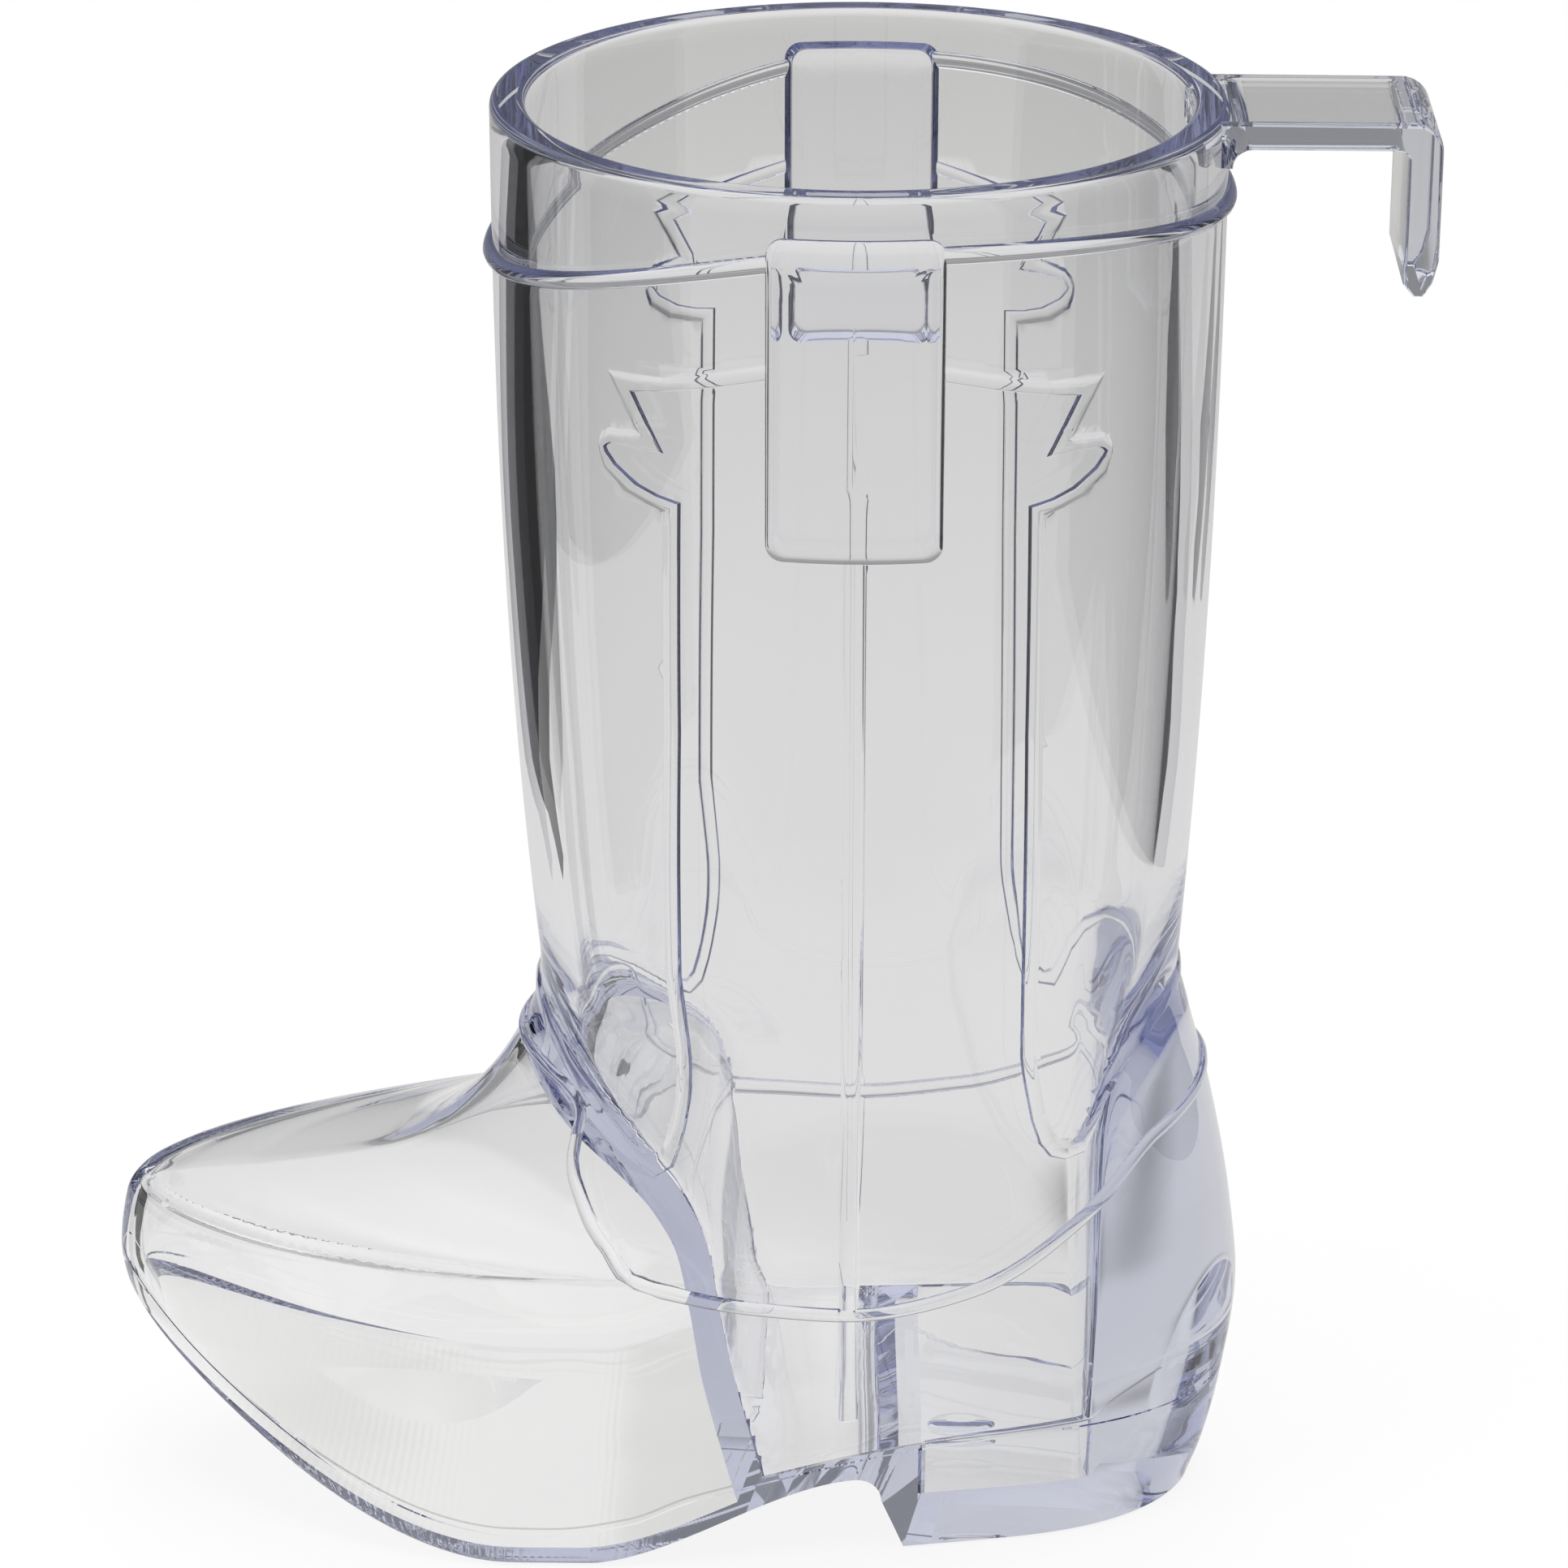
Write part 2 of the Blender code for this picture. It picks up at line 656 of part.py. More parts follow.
def pull_strap(name, side):
    """A flat strap with rounded corners, lying on the shaft below the rim."""
    top = HEIGHT - STRAP_TOP_DROP
    ends = STRAP_CORNER * (1 - np.cos(np.linspace(0.0, math.pi / 2, 4)))
    heights = np.concatenate([top - ends, np.linspace(top - 3.0, top - STRAP_LONG + 3.0, 5),
                              top - STRAP_LONG + ends[::-1]])
    across = np.linspace(-1.0, 1.0, 9)
    layers = []
    for proud in (-SUNK, STRAP_PROUD):
        for z in heights:
            reach = min(top - z, z - top + STRAP_LONG)
            cut = STRAP_CORNER - math.sqrt(max(STRAP_CORNER ** 2 - max(STRAP_CORNER - reach, 0.0) ** 2, 0.0))
            at = np.full(9, z)
            turn = side * turn_at(across * (STRAP_HALF - cut), at)
            layers.append(outside(turn, at) + proud * normals(turn, at))
    rows = len(heights)
    vertices = [p for layer in layers for p in layer]
    faces = []
    for base in (0, rows * 9):
        for i in range(rows - 1):
            for j in range(8):
                a = base + i * 9 + j
                faces.append((a, a + 1, a + 10, a + 9))
    rim = [j for j in range(9)] + [i * 9 + 8 for i in range(1, rows)]
    rim += [(rows - 1) * 9 + j for j in range(7, -1, -1)] + [i * 9 for i in range(rows - 2, 0, -1)]
    for a, b in zip(rim, rim[1:] + rim[:1]):
        faces.append((a, b, rows * 9 + b, rows * 9 + a))
    return hidden(mesh_object(name, vertices, faces))


def quarter(centre_x, centre_z, radius, start, end):
    """Points of an arc in x and z, angles in quarter turns from +x."""
    return [(centre_x + radius * math.cos(a * math.pi / 2), centre_z + radius * math.sin(a * math.pi / 2))
            for a in np.linspace(start, end, 5)]


def hook():
    """The hanging hook: an arm level with the rim and a short leg, filleted at its root."""
    top = HEIGHT - HOOK_BELOW_RIM
    under = top - HOOK_ARM
    root = 0.5 * (math.sqrt(RIM_RADIUS ** 2 - HOOK_HALF ** 2) + RIM_RADIUS - WALL)
    inner = HOOK_REACH - HOOK_LEG
    tip = HEIGHT - HOOK_DROP
    outline = [(root, top)]
    outline += quarter(HOOK_REACH - HOOK_CORNER, top - HOOK_CORNER, HOOK_CORNER, 1.0, 0.0)
    outline += [(HOOK_REACH, tip + HOOK_TAPER), (HOOK_REACH - 0.14 * HOOK_LEG, tip + 0.4 * HOOK_TAPER)]
    outline += [(HOOK_REACH - 0.42 * HOOK_LEG, tip), (inner + 0.8 * HOOK_CHAMFER, tip)]
    outline += [(inner, tip + HOOK_CHAMFER)]
    outline += quarter(inner - 0.5 * HOOK_FILLET, under - 0.5 * HOOK_FILLET, 0.5 * HOOK_FILLET, 0.0, 1.0)
    outline += quarter(RIM_RADIUS + HOOK_FILLET, under - HOOK_FILLET, HOOK_FILLET, 1.0, 2.0)
    outline.append((root, under - HOOK_FILLET))
    return hidden(prism("hook", outline, HOOK_HALF))


def heel_pocket():
    """The hollow in the top of the heel, under the drinking well."""
    plan = walled(HEEL_FLOOR, WALL, POCKET_FRONT_X, WELL_BACK_X, 0.5 * WELL_CORNER)
    rings = []
    for z in (HEEL_FLOOR, HEEL_HIGH + 3.0):
        ring = plan.copy()
        ring[:, 2] = z
        rings.append(ring)
    return hidden(stacked("heel_pocket", rings))


def boot_upper(plastic):
    """Shaft, foot, hollow toe, drinking well, relief and hook in one moulding."""
    upper = boot_form("boot_upper")
    raised = [collar_band(), ankle_band()]
    raised += [side_seam("seam_left", 1), side_seam("seam_right", -1)]
    raised += [pull_strap("strap_left", 1), pull_strap("strap_right", -1), hook()]
    for shape in raised:
        combine(upper, shape, "UNION")
    for cutter in (below_seam(), drinking_well(), toe_chamber()):
        combine(upper, cutter, "DIFFERENCE")
    upper.data.materials.append(plastic)
    return upper


def sole_and_heel(plastic):
    """The sole with its toe spring, arched shank and hollow heel."""
    sole = boot_form("sole_and_heel")
    combine(sole, sole_layer(), "INTERSECT")
    for cutter in (toe_floor(), heel_pocket()):
        combine(sole, cutter, "DIFFERENCE")
    sole.data.materials.append(plastic)
    return sole


def build():
    for obj in list(bpy.data.objects):
        bpy.data.objects.remove(obj, do_unlink=True)
    plastic = material("clear_plastic", (0.90, 0.91, 0.94), 0.03)
    upper = boot_upper(plastic)
    sole = sole_and_heel(plastic)
    stand = bpy.data.objects.new("stand", None)
    stand.location = (0.5 * (TOE_REACH - HOOK_REACH) * MM, 0.0, 0.0)
    bpy.context.scene.collection.objects.link(stand)
    for obj in list(bpy.context.scene.collection.objects):
        if obj is not stand:
            obj.parent = stand
    for obj in (upper, sole):
        for face in obj.data.polygons:
            face.use_smooth = True


build()
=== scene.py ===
"""Looks of the clear plastic boot: fine meshes for its two mouldings, plastic, studio light and camera.

The boot's own lengths are in millimetres: x from the toe (negative) to the heel, with zero on the shaft's
axis, z above the table, and the near side at negative y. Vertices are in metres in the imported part's frame.
"""

import math

import bmesh
import bpy
import numpy as np
from mathutils import Matrix, Vector


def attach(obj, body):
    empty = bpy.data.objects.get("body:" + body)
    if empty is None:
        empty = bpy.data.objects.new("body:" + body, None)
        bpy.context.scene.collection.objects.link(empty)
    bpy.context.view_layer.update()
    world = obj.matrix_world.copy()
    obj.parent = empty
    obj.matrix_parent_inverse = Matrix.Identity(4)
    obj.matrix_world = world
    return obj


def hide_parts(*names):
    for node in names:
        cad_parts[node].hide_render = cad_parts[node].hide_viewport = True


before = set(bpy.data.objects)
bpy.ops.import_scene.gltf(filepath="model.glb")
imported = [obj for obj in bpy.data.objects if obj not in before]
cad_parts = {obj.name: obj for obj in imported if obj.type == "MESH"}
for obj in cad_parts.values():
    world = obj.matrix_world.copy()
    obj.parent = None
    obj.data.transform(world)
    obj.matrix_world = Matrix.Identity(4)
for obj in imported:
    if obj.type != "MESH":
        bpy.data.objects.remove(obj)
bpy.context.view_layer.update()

MM = 0.001
SHIFT_X = 5.8

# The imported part's own sizes
HEIGHT = 83.2
RIM_RADIUS = 20.0
TOE_REACH = 42.8
HEEL_REACH = 22.5
BALL_HALF = 13.6
WALL = 1.95
TOE_WALL = 1.5
INNER_WALL = 1.8
ANKLE_Z = 33.0
ANKLE_FRONT = 17.9
ANKLE_BACK = 18.55
ANKLE_HALF = 16.7
SHAFT_FLARE = 2.5
INSTEP_HALF = 15.6
TOE_TIP_Z = 13.5
HEEL_BULGE_Z = 12.5
WAIST = 1.5
WAIST_X = 5.0
WAIST_SPAN = 10.0
SOLE_THICK = 1.8
SOLE_PLATE = 0.6
BALL_FRONT_X = -22.3
BALL_BACK_X = -15.5
TOE_SPRING = 9.7
SPRING_RUN = 17.7
SHANK_THICK = 1.2
ARCH_X = 0.3
ARCH_ROUND = 1.6
BREAST_X = 3.2
HEEL_HIGH = 7.2
HEEL_FLOOR = 3.0
HEEL_BASE_BACK = 20.1
POCKET_FRONT_X = 4.0
WELL_KNEE_X = -8.5
WELL_KNEE_Z = 22.0
WELL_FOOT_X = -3.6
WELL_BACK_X = 13.6
WELL_CORNER = 0.6
TOE_SOLID = 8.8
TOE_SOLID_RISE = 1.58
COLLAR_DROP = 3.1
COLLAR_FRONT_DIP = 5.3
COLLAR_BACK_DIP = 2.0
COLLAR_WIDE = 1.0
COLLAR_PROUD = 0.5
STRAP_HALF = 4.4
STRAP_TOP_DROP = 2.4
STRAP_LONG = 17.2
STRAP_PROUD = 0.8
STRAP_CORNER = 0.9
SEAM_WIDE = 1.1
SEAM_FOOT_Z = 9.3
BAND_WIDE = 0.9
BAND_FRONT_Z = 28.1
BAND_SIDE_Z = 17.2
BAND_BACK_Z = 26.5
HOOK_REACH = 31.2
HOOK_HALF = 5.2
HOOK_ARM = 1.6
HOOK_LEG = 1.95
HOOK_DROP = 9.7
HOOK_CORNER = 1.6
HOOK_TAPER = 2.0
HOOK_CHAMFER = 0.7
HOOK_FILLET = 1.0
HOOK_BELOW_RIM = 0.05
BELOW = -2.0
CHAMBER_LOW = BELOW - 8.0
SPREAD = 60.0

# What only the looks have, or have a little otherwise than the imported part
RIM_ROUND = 0.45
JOIN_GAP = 0.14
BOND_PAD = 0.02
BOND_NEAR = 0.006
BOND_FACING = 0.4
EDGE_ROUND = 0.16
EDGE_FADE_X = -4.0
EDGE_FADE = 10.0
BAND_PROUD = 0.3
SEAM_PROUD = 0.12
PANEL_PROUD = 0.17
SUNK = 0.3
SPRING_EASE = 2.5
SPRING_POWER = 1.7
STRAP_BEVEL = 1.25
STRAP_THIN = 0.4
STRAP_ROUND = 0.65
NEAR_FLANK = 0.0
FAR_FLANK = 0.55
FAR_ROUND = 0.25
HOOK_SOFT = 0.2
TOOL_PITCH = 0.45
TOOL_DEEP = 0.003
GATE_X = 6.4
GATE_LONG = 2.0
GATE_WIDE = 1.0

# The meshes: points round the boot, spacing of rings and lines, and the edges that stay sharp
AROUND = 208
STEP = 0.55
LINE_STEP = 0.4
SHAFT_WEIGHT = 0.6
TOE_WEIGHT = 1.8
SIDE_POINTS = 600
SHARP_ANGLE = 28.0

# The plastic: index of refraction outside and where the pieces are joined, and the tint of its depth
PLASTIC_IOR = 1.59
JOINED_IOR = 1.01
TINT = (0.05, 0.12, 0.5, 1.0)
TINT_DENSITY = 20.0

# The studio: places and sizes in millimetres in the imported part's frame, shades and light bounces
FLOOR_HALF = 2000
FLOOR_Z = -0.2
CARD_Z = 0.5
# Painted light: clear plastic sees the paper brightest round this place under the toe, and darker further off
BRIGHT_PLACE = (-22.0, 0.0, 0.0)
# Painted shadow: a soft dark patch behind the heel, on the paper as clear plastic sees it
HEEL_SHADE = 0.45
HEEL_SHADE_PLACE = (23.5, 37.0, 0.0)
HEEL_SHADE_SIZE = (6.0, 13.0, 1000.0)
PAPER_TINT = (1.03, 1.022, 0.992)
SEEN_SHARE = 0.88
BOUNCES = 40

# The camera as fitted to the photo: angles in degrees, place in metres
PHOTO_PX = 1932.0
FOCAL_PX = 7091.0
SENSOR_MM = 36.0
CAMERA_TURN = 1.11
CAMERA_DOWN = 22.26
CAMERA_ROLL = 0.14
CAMERA_PLACE = (0.00765, -0.3017, 0.1664)


def through(points, at):
    """Smooth curve through (position, value) pairs that never swings past them."""
    pairs = sorted(points)
    x = np.array([p for p, _ in pairs])
    y = np.array([v for _, v in pairs])
    width = np.diff(x)
    slope = np.diff(y) / width
    tangent = np.zeros(len(x))
    tangent[0] = slope[0]
    tangent[-1] = slope[-1]
    before = slope[:-1]
    after = slope[1:]
    same = before * after > 0
    w1 = 2 * width[1:] + width[:-1]
    w2 = width[1:] + 2 * width[:-1]
    tangent[1:-1][same] = ((w1 + w2)[same]) / (w1[same] / before[same] + w2[same] / after[same])
    at = np.asarray(at, dtype=float)
    i = np.clip(np.searchsorted(x, at) - 1, 0, len(width) - 1)
    t = np.clip((at - x[i]) / width[i], 0.0, 1.0)
    low = (1 + 2 * t) * (1 - t) ** 2 * y[i] + t * (1 - t) ** 2 * width[i] * tangent[i]
    high = t * t * (3 - 2 * t) * y[i + 1] + t * t * (t - 1) * width[i] * tangent[i + 1]
    return low + high


def flared(ankle, z):
    """A half size of the shaft at height z, from the ankle out to the round rim."""
    t = np.clip((z - ANKLE_Z) / (HEIGHT - ANKLE_Z), 0.0, 1.0)
    return ankle + (RIM_RADIUS - ankle) * (1 - (1 - t) ** SHAFT_FLARE)


def shaped(ankle, foot_points, z):
    """A half size of the boot at height z: a smooth foot below the ankle and the flared shaft above."""
    above = ANKLE_Z + 5.0
    points = foot_points + [(ANKLE_Z, ankle), (above, float(flared(ankle, above)))]
    return np.where(z >= ANKLE_Z, flared(ankle, z), through(points, z))


def vamp_point(up, out):
    """Height and reach of a point on the toe's ridge, as shares of its rise and of the toe's length."""
    return (TOE_TIP_Z + up * (ANKLE_Z - TOE_TIP_Z), ANKLE_FRONT + out * (TOE_REACH - ANKLE_FRONT))


def front_x(z):
    """How far the boot reaches forward at height z, as a negative x."""
    foot = [
        (BELOW, ANKLE_FRONT + 0.70 * (TOE_REACH - ANKLE_FRONT)),
        (0.30 * TOE_TIP_Z, ANKLE_FRONT + 0.83 * (TOE_REACH - ANKLE_FRONT)),
        (0.59 * TOE_TIP_Z, ANKLE_FRONT + 0.93 * (TOE_REACH - ANKLE_FRONT)),
        (0.78 * TOE_TIP_Z, ANKLE_FRONT + 0.976 * (TOE_REACH - ANKLE_FRONT)),
        vamp_point(0.0, 1.0),
        vamp_point(0.15, 0.986),
        vamp_point(0.25, 0.945),
        vamp_point(0.27, 0.85),
        vamp_point(0.293, 0.67),
        vamp_point(0.362, 0.365),
        vamp_point(0.46, 0.215),
        vamp_point(0.64, 0.09),
        vamp_point(0.77, 0.035),
        vamp_point(0.88, 0.008),
    ]
    return -shaped(ANKLE_FRONT, foot, z)


def back_x(z):
    """How far the boot reaches back at height z."""
    swell = HEEL_REACH - ANKLE_BACK
    foot = [
        (BELOW, HEEL_BASE_BACK - 0.6),
        (0.0, HEEL_BASE_BACK),
        (0.16 * HEEL_BULGE_Z, 0.3 * HEEL_REACH + 0.7 * HEEL_BASE_BACK),
        (0.5 * HEEL_BULGE_Z, 0.7 * HEEL_REACH + 0.3 * HEEL_BASE_BACK),
        (HEEL_BULGE_Z, HEEL_REACH),
        (HEEL_BULGE_Z + 0.23 * (ANKLE_Z - HEEL_BULGE_Z), ANKLE_BACK + 0.88 * swell),
        (HEEL_BULGE_Z + 0.61 * (ANKLE_Z - HEEL_BULGE_Z), ANKLE_BACK + 0.50 * swell),
        (HEEL_BULGE_Z + 0.82 * (ANKLE_Z - HEEL_BULGE_Z), ANKLE_BACK + 0.20 * swell),
    ]
    return shaped(ANKLE_BACK, foot, z)


def half_y(z):
    """The greatest half width at height z."""
    foot = [
        (BELOW, BALL_HALF),
        (0.0, BALL_HALF),
        (0.2 * ANKLE_Z, 0.75 * BALL_HALF + 0.25 * INSTEP_HALF),
        (0.36 * ANKLE_Z, 0.35 * BALL_HALF + 0.65 * INSTEP_HALF),
        (0.55 * ANKLE_Z, INSTEP_HALF),
        (0.76 * ANKLE_Z, 0.9 * INSTEP_HALF + 0.1 * ANKLE_HALF),
    ]
    return shaped(ANKLE_HALF, foot, z)


def widest_x(z):
    """Where along the boot the greatest half width lies."""
    ball = 0.5 * (BALL_FRONT_X + BALL_BACK_X)
    points = [
        (BELOW, ball),
        (0.09 * ANKLE_Z, 0.94 * ball),
        (0.24 * ANKLE_Z, 0.70 * ball),
        (0.40 * ANKLE_Z, 0.35 * ball),
        (0.55 * ANKLE_Z, 0.12 * ball),
        (0.73 * ANKLE_Z, 0.03 * ball),
        (ANKLE_Z, 0.0),
        (HEIGHT, 0.0),
    ]
    return through(points, z)


def nose(z):
    """How pointed the front is: 1 for an oval, more for a sharper ridge."""
    points = [
        (BELOW, 1.10),
        (0.35 * ANKLE_Z, 1.15),
        (0.60 * ANKLE_Z, 1.25),
        (0.73 * ANKLE_Z, 1.25),
        (0.90 * ANKLE_Z, 1.05),
        (ANKLE_Z, 1.0),
        (HEIGHT, 1.0),
    ]
    return through(points, z)


def tail(z):
    """How square the back is: 2 for an oval, more for a fuller heel."""
    points = [(BELOW, 3.2), (0.2 * ANKLE_Z, 2.8), (0.55 * ANKLE_Z, 2.25), (ANKLE_Z, 2.0), (HEIGHT, 2.0)]
    return through(points, z)


def waist(x, z):
    """How much the shank and heel are drawn in near the sole."""
    depth = through([(BELOW, WAIST), (0.2 * ANKLE_Z, WAIST), (0.5 * ANKLE_Z, 0.0), (HEIGHT, 0.0)], z)
    return depth * np.exp(-((x - WAIST_X) / WAIST_SPAN) ** 2)


def outside(turn, z):
    """Points of the outer surface. Turn is 0 at the toe, half pi at +y and pi at the heel."""
    turn, z = np.broadcast_arrays(np.asarray(turn, dtype=float), np.asarray(z, dtype=float))
    c = np.cos(turn)
    s = np.sin(turn)
    mid = widest_x(z)
    x_front = mid - (mid - front_x(z)) * np.abs(c)
    x_back = mid + (back_x(z) - mid) * np.abs(c) ** (2.0 / tail(z))
    x = np.where(c >= 0, x_front, x_back)
    y = half_y(z) * np.abs(s) ** np.where(c >= 0, nose(z), 1.0)
    y = np.maximum(y - waist(x, z) * np.abs(s), 0.0)
    return np.stack([x, y * np.sign(s), z], axis=-1)


def normals(turn, z):
    """Unit normals of the outer surface, facing out."""
    small = 0.002
    across = outside(turn + small, z) - outside(turn - small, z)
    lift = 0.05
    along = outside(turn, z + lift) - outside(turn, z - lift)
    n = np.cross(across, along)
    n = n / np.maximum(np.linalg.norm(n, axis=-1, keepdims=True), 1e-9)
    out = outside(turn, z)[..., :2] - np.stack([widest_x(z), np.zeros_like(z)], axis=-1)
    flip = np.sum(n[..., :2] * out, axis=-1, keepdims=True) < 0
    return np.where(flip, -n, n)


def turn_at(x, z):
    """The turn on the +y side at which the outer surface has this x."""
    low = np.zeros_like(z)
    high = np.full_like(z, math.pi)
    for _ in range(40):
        mid = 0.5 * (low + high)
        ahead = outside(mid, z)[..., 0] < x
        low = np.where(ahead, mid, low)
        high = np.where(ahead, high, mid)
    return 0.5 * (low + high)


def spring_z(x):
    """How far the toe is bent up at x."""
    d = np.maximum(BALL_FRONT_X + SPRING_EASE - np.asarray(x, dtype=float), 0.0)
    return TOE_SPRING * (d / (SPRING_RUN + SPRING_EASE)) ** SPRING_POWER


def seam_z(x):
    """Height of the top of the sole at x."""
    heel_run = WELL_BACK_X - BALL_BACK_X
    rise = HEEL_HIGH - SOLE_THICK
    points = [
        (-SPREAD, SOLE_THICK),
        (BALL_BACK_X - 1.5, SOLE_THICK),
        (BALL_BACK_X + 0.10 * heel_run, SOLE_THICK + 0.13 * rise),
        (BALL_BACK_X + 0.22 * heel_run, SOLE_THICK + 0.40 * rise),
        (BALL_BACK_X + 0.38 * heel_run, SOLE_THICK + 0.62 * rise),
        (BALL_BACK_X + 0.60 * heel_run, SOLE_THICK + 0.83 * rise),
        (BALL_BACK_X + 0.82 * heel_run, SOLE_THICK + 0.95 * rise),
        (WELL_BACK_X, HEEL_HIGH),
        (SPREAD, HEEL_HIGH),
    ]
    return through(points, x) + spring_z(x)


def tool_line(x):
    """Height of the fine cross lines that the mould's cutter left on toe and ball."""
    if x > BALL_BACK_X + 2.0:
        return 0.0
    return TOOL_DEEP * (1 - math.cos(2 * math.pi * x / TOOL_PITCH))


def arch_z(x):
    """Height of the sole's lower face at x, from the toe to the arch."""
    rise = float(seam_z(ARCH_X)) - SHANK_THICK
    t = np.clip((np.asarray(x, dtype=float) - BALL_BACK_X) / (ARCH_X - BALL_BACK_X), 0.0, 1.0)
    return spring_z(x) + rise * t * t * (3 - 2 * t)


def underside():
    """Outline of the sole's lower face from the toe to behind the heel, as x and z."""
    rise = float(arch_z(ARCH_X))
    fine = TOOL_PITCH / 6
    points = []
    for x in np.arange(-TOE_REACH - 6.0, ARCH_X, fine):
        points.append((float(x), float(arch_z(x)) + tool_line(x)))
    for turn in np.linspace(0.04, 1.0, 25) * math.pi / 2:
        x = ARCH_X + ARCH_ROUND * math.sin(turn)
        points.append((x, rise - ARCH_ROUND + ARCH_ROUND * math.cos(turn)))
    points += [(BREAST_X, 0.0), (SPREAD, 0.0)]
    return points


def well_front_x(z):
    """Front limit of the drinking well: the slanted wall over the toe, then the shaft's own wall."""
    ankle = ANKLE_FRONT - WALL
    lower = WELL_FOOT_X - WELL_KNEE_X
    slant = ankle + WELL_KNEE_X
    upper = ANKLE_Z - WELL_KNEE_Z
    points = [
        (BELOW, -WELL_FOOT_X - 0.10 * lower),
        (0.17 * ANKLE_Z, -WELL_FOOT_X + 0.30 * lower),
        (0.36 * ANKLE_Z, -WELL_FOOT_X + 0.57 * lower),
        (0.525 * ANKLE_Z, -WELL_FOOT_X + 0.765 * lower),
        (0.60 * ANKLE_Z, -WELL_FOOT_X + 0.84 * lower),
        (WELL_KNEE_Z, -WELL_KNEE_X),
        (WELL_KNEE_Z + 0.11 * upper, -WELL_KNEE_X + 0.094 * slant),
        (WELL_KNEE_Z + 0.28 * upper, -WELL_KNEE_X + 0.32 * slant),
        (WELL_KNEE_Z + 0.436 * upper, -WELL_KNEE_X + 0.54 * slant),
        (WELL_KNEE_Z + 0.71 * upper, -WELL_KNEE_X + 0.87 * slant),
        (ANKLE_Z, ankle + 0.4),
        (ANKLE_Z + 3.0, ankle + 3.0),
        (HEIGHT + 5.0, RIM_RADIUS + 10.0),
    ]
    return -through(points, z)


def well_back_x(z):
    """Back limit of the drinking well: straight before the thick counter, then the shaft's own wall."""
    ankle = ANKLE_BACK - WALL
    points = [
        (BELOW, WELL_BACK_X),
        (0.75 * ANKLE_Z, WELL_BACK_X),
        (0.87 * ANKLE_Z, 0.9 * WELL_BACK_X + 0.1 * ankle),
        (0.95 * ANKLE_Z, 0.68 * WELL_BACK_X + 0.32 * ankle),
        (1.02 * ANKLE_Z, 0.3 * WELL_BACK_X + 0.7 * ankle),
        (ANKLE_Z + 3.0, ankle + 0.8),
        (ANKLE_Z + 6.0, ankle + 4.0),
        (HEIGHT + 5.0, RIM_RADIUS + 10.0),
    ]
    return through(points, z)


def chamber_back_x(z):
    """Back of the hollow toe: the other face of the slanted wall, which thickens above its knee."""
    points = [
        (CHAMBER_LOW, 1.05),
        (0.36 * ANKLE_Z, 1.0),
        (0.50 * ANKLE_Z, 0.9),
        (0.60 * ANKLE_Z, 1.0),
        (WELL_KNEE_Z, 1.3),
        (WELL_KNEE_Z + 1.6, 1.9),
        (WELL_KNEE_Z + 3.1, 2.7),
        (ANKLE_Z, 3.6),
    ]
    return well_front_x(np.maximum(z, BELOW)) - INNER_WALL * through(points, z)


def lifted(turn, above):
    """Height of the outer surface where it is this far above the sole's sprung underside."""
    turn, above = np.broadcast_arrays(np.asarray(turn, dtype=float), np.asarray(above, dtype=float))
    low = above.copy()
    high = above + 2.0 * TOE_SPRING
    reach = EDGE_ROUND * np.maximum(np.cos(turn), 0.0)
    for _ in range(34):
        mid = 0.5 * (low + high)
        under = mid - spring_z(outside(turn, mid)[..., 0] + reach) < above
        low = np.where(under, mid, low)
        high = np.where(under, high, mid)
    return 0.5 * (low + high)


def tucked(turn, above):
    """Points of the outer surface, with the lower edge of toe and ball rounded under."""
    z = lifted(turn, above)
    p = outside(turn, z)
    fade = np.clip((EDGE_FADE_X - p[..., 0]) / EDGE_FADE, 0.0, 1.0)
    radius = np.maximum(EDGE_ROUND * fade * fade * (3 - 2 * fade), 1e-3)
    up = radius - np.clip(above, 0.0, radius)
    inset = radius - np.sqrt(np.maximum(radius * radius - up * up, 0.0))
    n = normals(turn, z)[..., :2]
    n = n / np.maximum(np.linalg.norm(n, axis=-1, keepdims=True), 1e-9)
    p[..., :2] -= inset[..., None] * n
    return p


def spaced(x, z, step):
    """Heights along a profile, evenly by its length: wider on the plain shaft, closer round the toe."""
    length = np.hypot(np.diff(x), np.diff(z))
    length = np.where(z[1:] > ANKLE_Z + 3.0, SHAFT_WEIGHT * length, length)
    toe = np.abs(z[1:] - TOE_TIP_Z - 2.5) < 4.0
    length = np.where(toe & (x[1:] < -0.8 * TOE_REACH), TOE_WEIGHT * length, length)
    run = np.concatenate([[0.0], np.cumsum(length)])
    count = max(int(round(run[-1] / step)), 4)
    return np.linspace(0.0, run[-1], count + 1), run


def levels(profile, low, high, step):
    """Heights from low to high, spaced by the length of a profile."""
    fine = np.linspace(low, high, 6000)
    at, run = spaced(profile(fine), fine, step)
    return np.interp(at, run, fine)


def form_levels(top):
    """Heights above the underside for the rings of the outer form."""
    fine = np.linspace(2.05, top, 4000)
    z = lifted(np.zeros(4000), fine)
    at, run = spaced(front_x(z), z, STEP)
    edge = [-3.0, -1.0, 0.0, 0.006, 0.02, 0.045, 0.09, 0.16, 0.4, 0.8, 1.25, 1.66]
    return np.concatenate([edge, np.interp(at, run, fine)])


def turns():
    """The turns of the points of one ring."""
    return np.linspace(0.0, 2 * math.pi, AROUND, endpoint=False)


